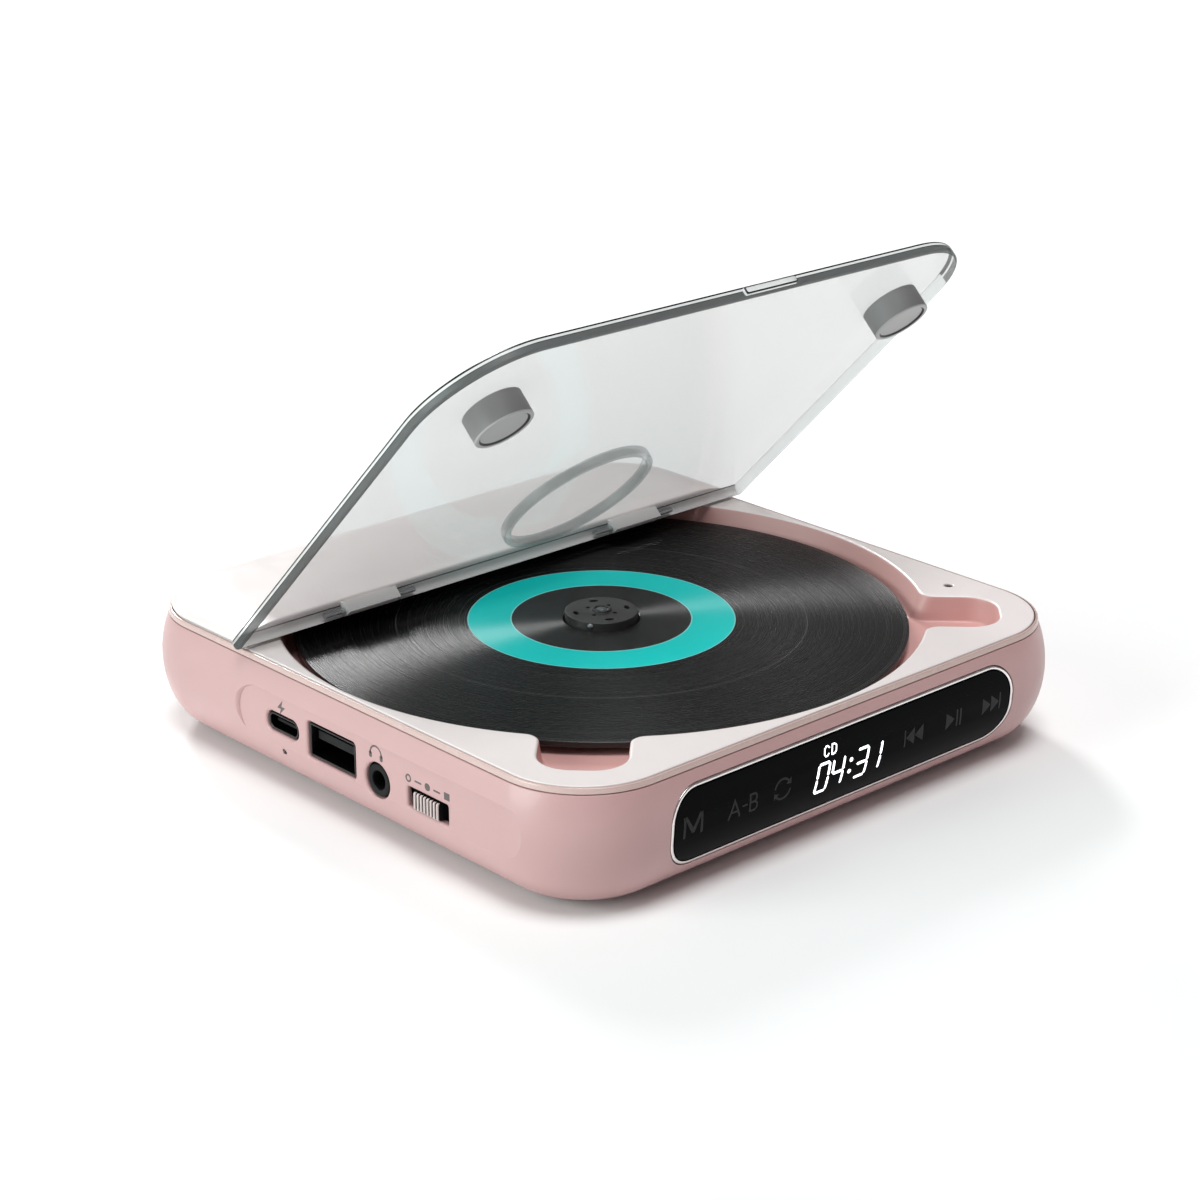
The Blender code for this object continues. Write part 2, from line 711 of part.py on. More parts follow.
def top_deck():
    """The pale deck with the disc well, the finger notches and screw posts."""
    deck = loft([rounded_ring(DECK_INSET, FLOOR_UNDER_Z),
                 rounded_ring(DECK_INSET, DECK_Z - DECK_EDGE_BEVEL),
                 rounded_ring(DECK_INSET + DECK_EDGE_BEVEL, DECK_Z)], closed=False)
    cut(deck, well_tool(), corner_hollow())
    for side in (-1, 1):
        cut(deck, notch_prism(side, 0.0, FLOOR_Z, DECK_Z + OVERSHOOT))
    slot_half = LENS_RADIUS + LENS_SLOT_MARGIN
    slot_end = LENS_MAX_RADIUS + LENS_RADIUS + LENS_SLOT_END
    below = FLOOR_UNDER_Z - OVERSHOOT
    floor_above = FLOOR_Z + OVERSHOOT
    cut(deck,
        bar_z(SPINDLE_HOLE_RADIUS, 0.0, 0.0, below, floor_above, steps=32),
        box((0.0, -slot_half, below), (slot_end, slot_half, floor_above)),
        bar_z(SENSOR_HOLE_RADIUS, SENSOR_X, SENSOR_Y, below, DECK_Z + OVERSHOOT))
    post_low_z = FLANGE_Z + CLEARANCE
    post_high_z = FLOOR_UNDER_Z + WELL_FLOOR / 2
    pilot_high_z = SCREW_FLOOR_Z + SCREW_LENGTH + SCREW_TIP_ROOM
    for x, y in post_places():
        join(deck, bar_z(POST_RADIUS, x, y, post_low_z, post_high_z))
        cut(deck, bar_z(SCREW_SHANK_RADIUS + CLEARANCE, x, y, post_low_z - OVERSHOOT,
                        pilot_high_z, steps=12))
    return deck


def bottom_cover():
    """The plate that closes the bottom, with foot recesses and chassis posts."""
    inset = OPENING_INSET + CLEARANCE
    below = BASE_Z - OVERSHOOT
    inner_z = FLANGE_Z - SHELL_WALL / 2
    post_top_z = grommet_low_z() - CLEARANCE
    pin_top_z = CHASSIS_TOP_Z + GROMMET_PIN_RISE
    cover = loft([rounded_ring(inset, BASE_Z), rounded_ring(inset, FLANGE_Z)], closed=False)
    for x, y in grommet_places():
        join(cover,
             bar_z(GROMMET_RADIUS, x, y, inner_z, post_top_z),
             bar_z(GROMMET_PIN_RADIUS, x, y, inner_z, pin_top_z, steps=12))
    for x, y in foot_places():
        cut(cover, bar_z(FOOT_RADIUS + CLEARANCE, x, y, below, BASE_Z + FOOT_RECESS, steps=24))
    for x, y in post_places():
        cut(cover,
            bar_z(SCREW_HEAD_RADIUS + CLEARANCE, x, y, below, SCREW_FLOOR_Z),
            bar_z(SCREW_SHANK_RADIUS + CLEARANCE, x, y, below, FLANGE_Z + OVERSHOOT, steps=12))
    return cover


def foot_places():
    """Centres of the four rubber feet."""
    return [(x, y) for x in (-FOOT_X, FOOT_X) for y in (-FOOT_Y, FOOT_Y)]


def post_places():
    """Centres of the four screw posts."""
    return [(x, y) for x in (-POST_XY, POST_XY) for y in (-POST_XY, POST_XY)]


def case_screw(x, y):
    """A screw from the bottom cover into one of the deck's posts."""
    head_low_z = BASE_Z + SCREW_HEAD_GAP
    head_high_z = SCREW_FLOOR_Z - SCREW_HEAD_GAP
    slot_length, slot_width, slot_depth = SCREW_SLOT
    screw = bar_z(SCREW_HEAD_RADIUS, x, y, head_low_z, head_high_z)
    shank_low_z = (head_low_z + head_high_z) / 2
    join(screw, bar_z(SCREW_SHANK_RADIUS, x, y, shank_low_z, SCREW_FLOOR_Z + SCREW_LENGTH,
                      steps=12))
    return cut(screw, box((x - slot_length / 2, y - slot_width / 2, BASE_Z - OVERSHOOT),
                          (x + slot_length / 2, y + slot_width / 2, head_low_z + slot_depth)))


def build_case():
    """Every fixed outer piece of the body."""
    name_part(side_shell(), "side_shell", "rose_shell")
    name_part(trim_ring(), "trim_ring", "trim_ring")
    name_part(top_deck(), "top_deck", "pale_deck")
    name_part(bottom_cover(), "bottom_cover", "rose_shell")
    for index, (x, y) in enumerate(foot_places(), 1):
        foot = bar_z(FOOT_RADIUS, x, y, 0.0, BASE_Z + FOOT_RECESS - CLEARANCE, steps=24)
        name_part(foot, f"foot_{index}", "foot_rubber")
    for index, (x, y) in enumerate(post_places(), 1):
        name_part(case_screw(x, y), f"case_screw_{index}", "steel")


# ---------------------------------------------------------- rear strip and lid

def knuckle(x):
    """One hinge knuckle that stands forward of the rear strip."""
    radius = LID_THICKNESS / 2
    low_x = x - KNUCKLE_WIDTH / 2
    high_x = x + KNUCKLE_WIDTH / 2
    web = box((low_x, HINGE_Y, HINGE_Z - radius),
              (high_x, STRIP_FRONT_Y + KNUCKLE_ROOT, HINGE_Z + radius))
    return join(web, bar_x(radius, low_x, high_x, HINGE_Y, HINGE_Z, steps=HINGE_STEPS))


def rear_strip():
    """The raised, soft-edged strip behind the lid, with its two knuckles."""
    rings = []
    for step in range(STRIP_STEPS + 1):
        angle = step / STRIP_STEPS * math.pi / 2
        inset = DECK_INSET - STRIP_OVERHANG + STRIP_SHOULDER * (1.0 - math.cos(angle))
        rings.append(rounded_ring(inset, STRIP_Z + STRIP_HEIGHT * math.sin(angle)))
    strip = loft(rings, closed=False)
    cut(strip, box((-BODY_HALF, -BODY_HALF, DECK_Z - OVERSHOOT),
                   (BODY_HALF, STRIP_FRONT_Y, STRIP_Z + STRIP_HEIGHT + OVERSHOOT)))
    for x in (-KNUCKLE_X, KNUCKLE_X):
        join(strip, knuckle(x))
        cut(strip, hinge_bore(x, KNUCKLE_WIDTH))
    return strip


def hinge_bore(x, reach):
    """A tool along the hinge axis, a little wider than the pin."""
    return bar_x(HINGE_PIN_RADIUS + HINGE_BORE_GAP, x - reach, x + reach, HINGE_Y, HINGE_Z,
                 steps=12)


def lid_panel():
    """The clear lid, drawn closed: a flat plate with a rolled rear edge."""
    low_z = HINGE_Z - LID_THICKNESS / 2
    high_z = HINGE_Z + LID_THICKNESS / 2
    below = low_z - OVERSHOOT
    above = high_z + OVERSHOOT
    plate = rounded_box((-LID_HALF, LID_FRONT_Y, low_z), (LID_HALF, -LID_FRONT_Y, high_z),
                        LID_CORNER, axis=2, segments=CORNER_STEPS + 1)
    cut(plate, box((-BODY_HALF, HINGE_Y, below), (BODY_HALF, BODY_HALF + OVERSHOOT, above)))
    join(plate, bar_x(LID_THICKNESS / 2, -LID_HALF, LID_HALF, HINGE_Y, HINGE_Z,
                      steps=HINGE_STEPS))
    tab_low_x = LID_TAB_X - LID_TAB_WIDTH / 2
    tab_high_x = LID_TAB_X + LID_TAB_WIDTH / 2
    join(plate, box((tab_low_x, LID_FRONT_Y - LID_TAB_REACH, low_z + LID_TAB_STEP),
                    (tab_high_x, LID_FRONT_Y + LID_TAB_ROOT, high_z - LID_TAB_STEP)))
    slot_half = KNUCKLE_WIDTH / 2 + CLEARANCE
    slot_front_y = HINGE_Y - LID_THICKNESS / 2 - CLEARANCE
    bore_reach = KNUCKLE_WIDTH / 2 + HINGE_PIN_REACH + CLEARANCE
    for x in (-KNUCKLE_X, KNUCKLE_X):
        cut(plate,
            box((x - slot_half, slot_front_y, below), (x + slot_half, HINGE_Y + OVERSHOOT, above)),
            hinge_bore(x, bore_reach))
    return plate


def lid_pad(side):
    """A grey pad under a free corner of the lid, with a shallow dished face."""
    x = side * PAD_XY
    top_z = HINGE_Z - LID_THICKNESS / 2 - LID_GLUE
    low_z = HINGE_Z - LID_THICKNESS / 2 - LID_PAD_HEIGHT
    pad = bar_z(LID_PAD_RADIUS, x, -PAD_XY, low_z, top_z, steps=32)
    return cut(pad, bar_z(LID_PAD_RADIUS - LID_PAD_LIP, x, -PAD_XY, low_z - OVERSHOOT,
                          low_z + LID_PAD_DISH, steps=32))


def lid_ring():
    """The clear ring under the middle of the lid, over the disc's hub."""
    top_z = HINGE_Z - LID_THICKNESS / 2 - LID_GLUE
    low_z = HINGE_Z - LID_THICKNESS / 2 - LID_RING_HEIGHT
    return tube(LID_RING_RADIUS, LID_RING_RADIUS - LID_RING_WIDTH, low_z, top_z, 40)


def build_lid():
    """The lid on its hinge, standing open, with the strip and pins that hold it."""
    name_part(rear_strip(), "rear_strip", "pale_deck")
    reach = KNUCKLE_WIDTH / 2 + HINGE_PIN_REACH
    for name, x in (("hinge_pin_left", -KNUCKLE_X), ("hinge_pin_right", KNUCKLE_X)):
        pin = bar_x(HINGE_PIN_RADIUS, x - reach, x + reach, HINGE_Y, HINGE_Z, steps=12)
        name_part(pin, name, "steel")
    hinge = joint_empty("lid_hinge", (0.0, HINGE_Y, HINGE_Z))
    name_part(lid_panel(), "lid_panel", "clear_lid", hinge)
    name_part(lid_ring(), "lid_center_ring", "clear_lid", hinge)
    name_part(lid_pad(-1), "lid_pad_left", "grey_pad", hinge)
    name_part(lid_pad(1), "lid_pad_right", "grey_pad", hinge)
    hinge.rotation_euler = (-math.radians(LID_OPEN_DEG), 0.0, 0.0)


# ---------------------------------------------------------- panel and display

def build_panel():
    """The touch panel, its bright rim, and the boards right behind it."""
    name_part(curved_panel(0.0, PANEL_THICKNESS), "touch_panel", "panel_glass")
    rim = curved_panel(PANEL_GAP + PANEL_RIM_WIDTH, PANEL_THICKNESS)
    cut(rim, panel_prism(PANEL_GAP, -BODY_HALF - OVERSHOOT, -DECK_HALF + OVERSHOOT))
    name_part(rim, "panel_rim", "bright_rim")
    half_x = DISPLAY_SIZE[0] / 2
    half_z = DISPLAY_SIZE[2] / 2
    board_half = PANEL_HALF - TOUCH_BOARD_INSET
    board = box((-board_half, PANEL_BACK_Y, PANEL_MIDDLE_Z - PANEL_HEIGHT / 2 + TOUCH_BOARD_LIFT),
                (board_half, PANEL_BACK_Y + BOARD_THICKNESS, FLOOR_UNDER_Z - 2 * CLEARANCE))
    window_x = half_x + CLEARANCE
    window_z = half_z + CLEARANCE
    cut(board, box((-window_x, PANEL_BACK_Y - OVERSHOOT, PANEL_MIDDLE_Z - window_z),
                   (window_x, PANEL_BACK_Y + OVERSHOOT, PANEL_MIDDLE_Z + window_z)))
    name_part(board, "touch_board", "circuit_board")
    display = box((-half_x, PANEL_BACK_Y, PANEL_MIDDLE_Z - half_z),
                  (half_x, PANEL_BACK_Y + DISPLAY_SIZE[1], PANEL_MIDDLE_Z + half_z))
    name_part(display, "display_module", "display")


# ------------------------------------------------------------- connector side

def usb_socket(y, size, tongue, corner, leg_height):
    """A metal USB shell with a tongue inside and a block it stands on."""
    depth, width, height = size
    end_x = CONNECTOR_X + depth
    low = Vector((CONNECTOR_X, y - width / 2, USB_ROW_Z - height / 2))
    high = Vector((end_x, y + width / 2, USB_ROW_Z + height / 2))
    socket = rounded_box(low, high, corner, axis=0)
    cavity_low = low + Vector((-OVERSHOOT, CONNECTOR_SKIN, CONNECTOR_SKIN))
    cavity_high = high - Vector((CONNECTOR_BACK, CONNECTOR_SKIN, CONNECTOR_SKIN))
    cavity_corner = max(corner - CONNECTOR_SKIN, CONNECTOR_SKIN / 4)
    cut(socket, rounded_box(cavity_low, cavity_high, cavity_corner, axis=0))
    tongue_width, tongue_height, tongue_rise = tongue
    tongue_z = USB_ROW_Z + tongue_rise
    join(socket, box((CONNECTOR_X + TONGUE_INSET, y - tongue_width / 2,
                      tongue_z - tongue_height / 2),
                     (end_x - TONGUE_INSET, y + tongue_width / 2,
                      tongue_z + tongue_height / 2)))
    if leg_height > 0:
        join(socket, box((CONNECTOR_X + LEG_SETBACK, y - width / 3, low.z - leg_height),
                         (end_x, y + width / 3, low.z + CONNECTOR_SKIN / 2)))
    return socket


def audio_jack():
    """The headphone jack: a round nose with a bore, on a square block."""
    nose_end = MAIN_BOARD_X - CLEARANCE
    end_x = CONNECTOR_X + JACK_LENGTH
    jack = bar_x(JACK_RADIUS, CONNECTOR_X, nose_end, JACK_Y, LOW_ROW_Z, steps=32)
    join(jack, box((nose_end - JACK_BLOCK_LAP, JACK_Y - JACK_BLOCK_HALF, BOARD_TOP_Z + CLEARANCE),
                   (end_x, JACK_Y + JACK_BLOCK_HALF, LOW_ROW_Z + JACK_RADIUS)))
    return cut(jack, bar_x(JACK_BORE_RADIUS, CONNECTOR_X - OVERSHOOT, end_x - CONNECTOR_BACK,
                           JACK_Y, LOW_ROW_Z, steps=24))


def knob_flange_x():
    """Where the knob's flange slides, just inside the shell's wall."""
    flange_low_z = LOW_ROW_Z - SWITCH_SLOT[1] / 2 - KNOB_FLANGE_LIP
    return -(BODY_HALF - inner_inset(flange_low_z)) + CLEARANCE


def switch_knob():
    """The ribbed slide-switch cap with its flange and stem."""
    cap_half_y = (SWITCH_SLOT[0] - 2 * SWITCH_TRAVEL) / 2 - SWITCH_END_GAP
    cap_half_z = SWITCH_SLOT[1] / 2 - SWITCH_SIDE_GAP
    cap_x = PORT_X - SWITCH_CAP_HEIGHT
    flange_x = knob_flange_x()
    knob = box((cap_x, SWITCH_Y - cap_half_y, LOW_ROW_Z - cap_half_z),
               (flange_x + KNOB_FLANGE / 2, SWITCH_Y + cap_half_y, LOW_ROW_Z + cap_half_z))
    flange_half_y = SWITCH_SLOT[0] / 2 + SWITCH_TRAVEL
    flange_half_z = SWITCH_SLOT[1] / 2 + KNOB_FLANGE_LIP
    join(knob,
         box((flange_x, SWITCH_Y - flange_half_y, LOW_ROW_Z - flange_half_z),
             (flange_x + KNOB_FLANGE, SWITCH_Y + flange_half_y, LOW_ROW_Z + flange_half_z)),
         box((flange_x + KNOB_FLANGE / 2, SWITCH_Y - KNOB_STEM_HALF, LOW_ROW_Z - KNOB_STEM_HALF),
             (flange_x + KNOB_STEM_LENGTH, SWITCH_Y + KNOB_STEM_HALF,
              LOW_ROW_Z + KNOB_STEM_HALF)))
    pitch = 2 * cap_half_y / SWITCH_RIBS
    groove_half = pitch * SWITCH_GROOVE_SHARE
    groove_z = cap_half_z + OVERSHOOT
    for index in range(1, SWITCH_RIBS):
        y = SWITCH_Y - cap_half_y + index * pitch
        cut(knob, box((cap_x - OVERSHOOT, y - groove_half, LOW_ROW_Z - groove_z),
                      (cap_x + SWITCH_RIB_DEPTH, y + groove_half, LOW_ROW_Z + groove_z)))
    return knob


def switch_body():
    """The slide switch on the main board, slotted for the knob's stem."""
    depth, half_width, top_rise = SWITCH_BODY
    front_x = knob_flange_x() + KNOB_FLANGE + CLEARANCE
    body = box((front_x, SWITCH_Y - half_width, BOARD_TOP_Z + CLEARANCE),
               (front_x + depth, SWITCH_Y + half_width, LOW_ROW_Z + top_rise))
    slot_half_y = KNOB_STEM_HALF + SWITCH_TRAVEL + CLEARANCE
    slot_half_z = KNOB_STEM_HALF + CLEARANCE
    slot_end_x = front_x + KNOB_STEM_LENGTH
    return cut(body, box((front_x - OVERSHOOT, SWITCH_Y - slot_half_y, LOW_ROW_Z - slot_half_z),
                         (slot_end_x, SWITCH_Y + slot_half_y, LOW_ROW_Z + slot_half_z)))


def build_left_side():
    """Connectors, the slide switch and the charging light."""
    usb_c_leg = USB_ROW_Z - USB_C_SIZE[2] / 2 - BOARD_TOP_Z - CLEARANCE
    usb_c = usb_socket(USB_C_Y, USB_C_SIZE, USB_C_TONGUE, USB_C_SIZE[2] * USB_C_CORNER_SHARE,
                       usb_c_leg)
    name_part(usb_c, "usb_c_socket", "connector_metal")
    usb_a = usb_socket(USB_A_Y, USB_A_SIZE, USB_A_TONGUE, USB_A_CORNER, 0.0)
    name_part(usb_a, "usb_a_socket", "connector_metal")
    name_part(audio_jack(), "headphone_jack", "black_plastic")
    name_part(switch_body(), "switch_body", "connector_metal")
    slide = joint_empty("switch_slide", (PORT_X, SWITCH_Y, LOW_ROW_Z))
    name_part(switch_knob(), "switch_knob", "black_plastic", slide)
    light = bar_x(LED_RADIUS, PORT_X + LED_SETBACK, PORT_X + LED_LENGTH, USB_C_Y, LED_Z, steps=12)
    name_part(light, "charge_light", "led_lens")


# ------------------------------------------------------------------ disc drive

def grommet_places():
    """Centres of the four rubber dampers that carry the chassis."""
    left = CHASSIS_LEFT_X + GROMMET_RADIUS + GROMMET_INSET
    right = BODY_HALF - OPENING_INSET - GROMMET_RADIUS - 2 * CLEARANCE
    return [(x, y) for x in (left, right) for y in (-GROMMET_Y, GROMMET_Y)]


def grommet_low_z():
    """Height of the dampers' lower faces."""
    return CHASSIS_LOW_Z - CLEARANCE - GROMMET_HEIGHT


def drive_chassis():
    """The plate that carries the motors, the guide rods and the sled."""
    below = CHASSIS_LOW_Z - OVERSHOOT
    above = CHASSIS_TOP_Z + OVERSHOOT
    bracket_high_z = CHASSIS_LOW_Z + BRACKET_LAP
    chassis = rounded_box((CHASSIS_LEFT_X, -CHASSIS_HALF_Y, CHASSIS_LOW_Z),
                          (CHASSIS_RIGHT_X, CHASSIS_HALF_Y, CHASSIS_TOP_Z),
                          CHASSIS_CORNER, axis=2)
    opening_x = LENS_PARK_RADIUS - SLED_BACK - 2 * CLEARANCE
    opening_half = SLED_HALF_Y + SLED_OPENING_MARGIN
    cut(chassis,
        box((opening_x, -opening_half, below), (RIGHT_BRACKET_X, opening_half, above)),
        bar_z(CHASSIS_HUB_RADIUS, 0.0, 0.0, below, above, steps=24))
    for y in (-ROD_Y, ROD_Y):
        for low_x in (LEFT_BRACKET_X, RIGHT_BRACKET_X):
            high_x = low_x + BRACKET_THICKNESS
            join(chassis, box((low_x, y - BRACKET_HALF, ROD_Z - BRACKET_HALF),
                              (high_x, y + BRACKET_HALF, bracket_high_z)))
            cut(chassis, bar_x(ROD_RADIUS + ROD_GAP, low_x - OVERSHOOT, high_x + OVERSHOOT,
                               y, ROD_Z))
    join(chassis, box((RIGHT_BRACKET_X, SCREW_Y - BRACKET_HALF, SCREW_Z - BRACKET_HALF),
                      (SCREW_END_X, SCREW_Y + BRACKET_HALF, bracket_high_z)))
    cut(chassis, bar_x(SCREW_RADIUS / 2 + ROD_GAP, RIGHT_BRACKET_X - OVERSHOOT,
                       CHASSIS_RIGHT_X + OVERSHOOT, SCREW_Y, SCREW_Z, steps=12))
    for x, y in grommet_places():
        cut(chassis, bar_z(GROMMET_PIN_RADIUS + CLEARANCE, x, y, below, above, steps=12))
    return chassis


def pickup_sled():
    """The optical sled at its parked place, with rod bores, turret and nut."""
    back_x = LENS_PARK_RADIUS - SLED_BACK
    front_x = LENS_PARK_RADIUS + SLED_FRONT
    low_z = ROD_Z - SLED_HEIGHT / 2
    high_z = ROD_Z + SLED_HEIGHT / 2
    sled = rounded_box((back_x, -SLED_HALF_Y, low_z), (front_x, SLED_HALF_Y, high_z),
                       SLED_CORNER, axis=2)
    join(sled, box((back_x + TURRET_INSET, -TURRET_HALF_Y, high_z - JOIN_LAP),
                   (front_x - TURRET_LIP, TURRET_HALF_Y, TURRET_Z)))
    nut_back_x = back_x + NUT_START
    nut_front_x = back_x + NUT_END
    join(sled, box((nut_back_x, SCREW_Y - NUT_HALF, SCREW_Z - NUT_HALF),
                   (nut_front_x, -SLED_HALF_Y + JOIN_LAP, high_z - CLEARANCE)))
    for y in (-ROD_Y, ROD_Y):
        cut(sled, bar_x(ROD_RADIUS + ROD_GAP, back_x - OVERSHOOT, front_x + OVERSHOOT, y, ROD_Z))
    return cut(sled, bar_x(SCREW_RADIUS + CLEARANCE, nut_back_x - OVERSHOOT,
                           nut_front_x + OVERSHOOT, SCREW_Y, SCREW_Z))


def lead_screw():
    """The screw that moves the sled: a core with a helical thread."""
    end_x = RIGHT_BRACKET_X - 2 * CLEARANCE
    core_radius = SCREW_RADIUS - SCREW_THREAD
    turns = (end_x - LEFT_BRACKET_X) / SCREW_PITCH
    rings = []
    for step in range(int(turns * SCREW_RINGS) + 1):
        x = LEFT_BRACKET_X + step * SCREW_PITCH / SCREW_RINGS
        ring = []
        for index in range(SCREW_SIDES):
            angle = index / SCREW_SIDES * 2 * math.pi
            phase = angle - step * 2 * math.pi / SCREW_RINGS
            radius = core_radius + SCREW_THREAD * max(0.0, math.cos(phase))
            y = SCREW_Y + radius * math.cos(angle)
            z = SCREW_Z + radius * math.sin(angle)
            ring.append(Vector((x, y, z)))
        rings.append(ring)
    screw = loft(rings, closed=False)
    lap_x = LEFT_BRACKET_X + JOIN_LAP
    return join(screw,
                bar_x(SCREW_RADIUS / 2, lap_x, SCREW_END_X - SCREW_END_GAP, SCREW_Y, SCREW_Z,
                      steps=12),
                bar_x(SCREW_RADIUS / 2, LEFT_BRACKET_X - SCREW_STUB, lap_x, SCREW_Y, SCREW_Z,
                      steps=12))


def sled_motor():
    """The small motor on the lead screw's left end."""
    right_x = LEFT_BRACKET_X - 2 * CLEARANCE
    motor = bar_x(SLED_MOTOR_RADIUS, right_x - SLED_MOTOR_LENGTH, right_x, SCREW_Y, SCREW_Z,
                  steps=24)
    return cut(motor, bar_x(SCREW_RADIUS / 2 + ROD_GAP, right_x - SLED_MOTOR_BORE,
                            right_x + OVERSHOOT, SCREW_Y, SCREW_Z, steps=12))


def spindle_motor():
    """The flat motor under the hub, bored for the hub's shaft."""
    top_z = CHASSIS_LOW_Z - CLEARANCE
    low_z = top_z - SPINDLE_MOTOR_HEIGHT
    return tube(SPINDLE_MOTOR_RADIUS, SPINDLE_RADIUS + ROD_GAP, low_z, top_z, 32)


def turntable():
    """Shaft, platter and hub nose that the disc is pressed onto."""
    platter_high_z = DISC_LOW_Z - CLEARANCE
    platter_low_z = platter_high_z - PLATTER_THICKNESS
    nose_radius = DISC_HOLE_RADIUS - CLEARANCE
    nose_z = DISC_TOP_Z + HUB_RISE
    chamfer = HUB_EDGE * HUB_EDGE_SHARE
    shaft_low_z = CHASSIS_LOW_Z - CLEARANCE - SPINDLE_MOTOR_HEIGHT + SPINDLE_END_GAP
    hub = turned([(0.0, nose_z),
                  (nose_radius - HUB_EDGE, nose_z),
                  (nose_radius - chamfer, nose_z - chamfer),
                  (nose_radius, nose_z - HUB_EDGE),
                  (nose_radius, platter_high_z),
                  (PLATTER_RADIUS, platter_high_z),
                  (PLATTER_RADIUS, platter_low_z),
                  (SPINDLE_RADIUS, platter_low_z),
                  (SPINDLE_RADIUS, shaft_low_z),
                  (0.0, shaft_low_z)], 48)
    for centre in ball_places():
        cut(hub, ball(BALL_RADIUS + CLEARANCE, centre))
    return hub


def ball_places():
    """Centres of the three balls that grip the disc's hole."""
    reach = DISC_HOLE_RADIUS - CLEARANCE - BALL_RADIUS * BALL_SINK_SHARE
    places = []
    for index in range(3):
        angle = math.pi / 2 + index * 2 * math.pi / 3
        x = reach * math.cos(angle)
        y = reach * math.sin(angle)
        places.append(Vector((x, y, DISC_TOP_Z + BALL_RISE)))
    return places


def build_drive():
    """The suspended drive: chassis, motors, rods, sled, hub and disc."""
    name_part(drive_chassis(), "drive_chassis", "steel")
    low_z = grommet_low_z()
    high_z = low_z + GROMMET_HEIGHT
    bore = GROMMET_PIN_RADIUS + CLEARANCE
    for index, centre in enumerate(grommet_places(), 1):
        grommet = tube(GROMMET_RADIUS, bore, low_z, high_z, 16, centre)
        name_part(grommet, f"chassis_grommet_{index}", "foot_rubber")
    for name, y in (("guide_rod_front", -ROD_Y), ("guide_rod_rear", ROD_Y)):
        rod = bar_x(ROD_RADIUS, LEFT_BRACKET_X - ROD_END_LAP, CHASSIS_RIGHT_X, y, ROD_Z)
        name_part(rod, name, "steel")
    name_part(spindle_motor(), "spindle_motor", "steel")
    name_part(sled_motor(), "sled_motor", "steel")
    screw_axis = joint_empty("screw_axis", (LEFT_BRACKET_X, SCREW_Y, SCREW_Z))
    name_part(lead_screw(), "lead_screw", "steel", screw_axis)
    sled_slide = joint_empty("sled_slide", (LENS_PARK_RADIUS, 0.0, ROD_Z))
    name_part(pickup_sled(), "pickup_sled", "black_plastic", sled_slide)
    lens = bar_z(LENS_RADIUS, LENS_PARK_RADIUS, 0.0, TURRET_Z + CLEARANCE,
                 DISC_LOW_Z - LENS_GAP, steps=20)
    name_part(lens, "pickup_lens", "lens_glass", sled_slide)
    spindle = joint_empty("spindle_axis", (0.0, 0.0, DISC_LOW_Z))
    name_part(turntable(), "turntable", "black_plastic", spindle)
    for index, centre in enumerate(ball_places(), 1):
        name_part(ball(BALL_RADIUS, centre), f"hub_ball_{index}", "steel", spindle)
    disc = tube(DISC_RADIUS, DISC_HOLE_RADIUS, DISC_LOW_Z, DISC_TOP_Z, WELL_STEPS)
    name_part(disc, "disc", "disc_print", spindle)


# ----------------------------------------------------------------- electronics

def lid_sensor():
    """The pin that the closed lid presses, and the switch below it."""
    pin_top_z = DECK_Z - SENSOR_SINK
    slide = joint_empty("sensor_slide", (SENSOR_X, SENSOR_Y, pin_top_z))
    pin = bar_z(SENSOR_PIN_RADIUS, SENSOR_X, SENSOR_Y, pin_top_z - SENSOR_PIN_LENGTH, pin_top_z,
                steps=12)
    name_part(pin, "lid_sensor_pin", "black_plastic", slide)
    top_z = FLOOR_UNDER_Z - 2 * CLEARANCE
    body = box((SENSOR_X - SENSOR_BODY_HALF, SENSOR_Y - SENSOR_BODY_HALF,
                top_z - SENSOR_BODY_HEIGHT),
               (SENSOR_X + SENSOR_BODY_HALF, SENSOR_Y + SENSOR_BODY_HALF, top_z))
    cut(body, bar_z(SENSOR_PIN_RADIUS + ROD_GAP, SENSOR_X, SENSOR_Y, top_z - SENSOR_BORE,
                    top_z + OVERSHOOT, steps=12))
    name_part(body, "lid_sensor_body", "chip")


def build_electronics():
    """Main board with its chips, the battery and the lid switch."""
    board = box((MAIN_BOARD_X, MAIN_BOARD_LOW_Y, BOARD_TOP_Z - BOARD_THICKNESS),
                (MAIN_BOARD_X + MAIN_BOARD_DEPTH, MAIN_BOARD_HIGH_Y, BOARD_TOP_Z))
    name_part(board, "main_board", "circuit_board")
    chip_low_z = BOARD_TOP_Z + CHIP_LIFT
    for name, share, y, half in CHIPS:
        x = MAIN_BOARD_X + MAIN_BOARD_DEPTH * share
        chip = box((x - half, y - half, chip_low_z), (x + half, y + half, chip_low_z + CHIP_HEIGHT))
        name_part(chip, name, "chip")
    depth, width, height = BATTERY_SIZE
    right_x = CHASSIS_LEFT_X - BATTERY_CORNER
    low_z = FLANGE_Z + 2 * CLEARANCE
    battery = rounded_box((right_x - depth, -width / 2, low_z),
                          (right_x, width / 2, low_z + height), BATTERY_CORNER, axis=1)
    name_part(battery, "battery", "battery_wrap")
    lid_sensor()


clear_scene()
PLAYER = new_collection("cd_player")
WORKSHOP = new_collection("workshop")
build_case()
build_lid()
build_panel()
build_left_side()
build_drive()
build_electronics()
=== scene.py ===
"""Looks of the portable CD player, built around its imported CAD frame.

Everything is in metres in the frame of the CAD: +Z up, the touch panel faces -Y and the
connectors face -X. Places come from the boxes of the CAD nodes.
"""
import json
from math import asin, atan2, copysign, cos, degrees, hypot, pi, radians, sin, sqrt

import bmesh
import bpy
from mathutils import Matrix, Vector


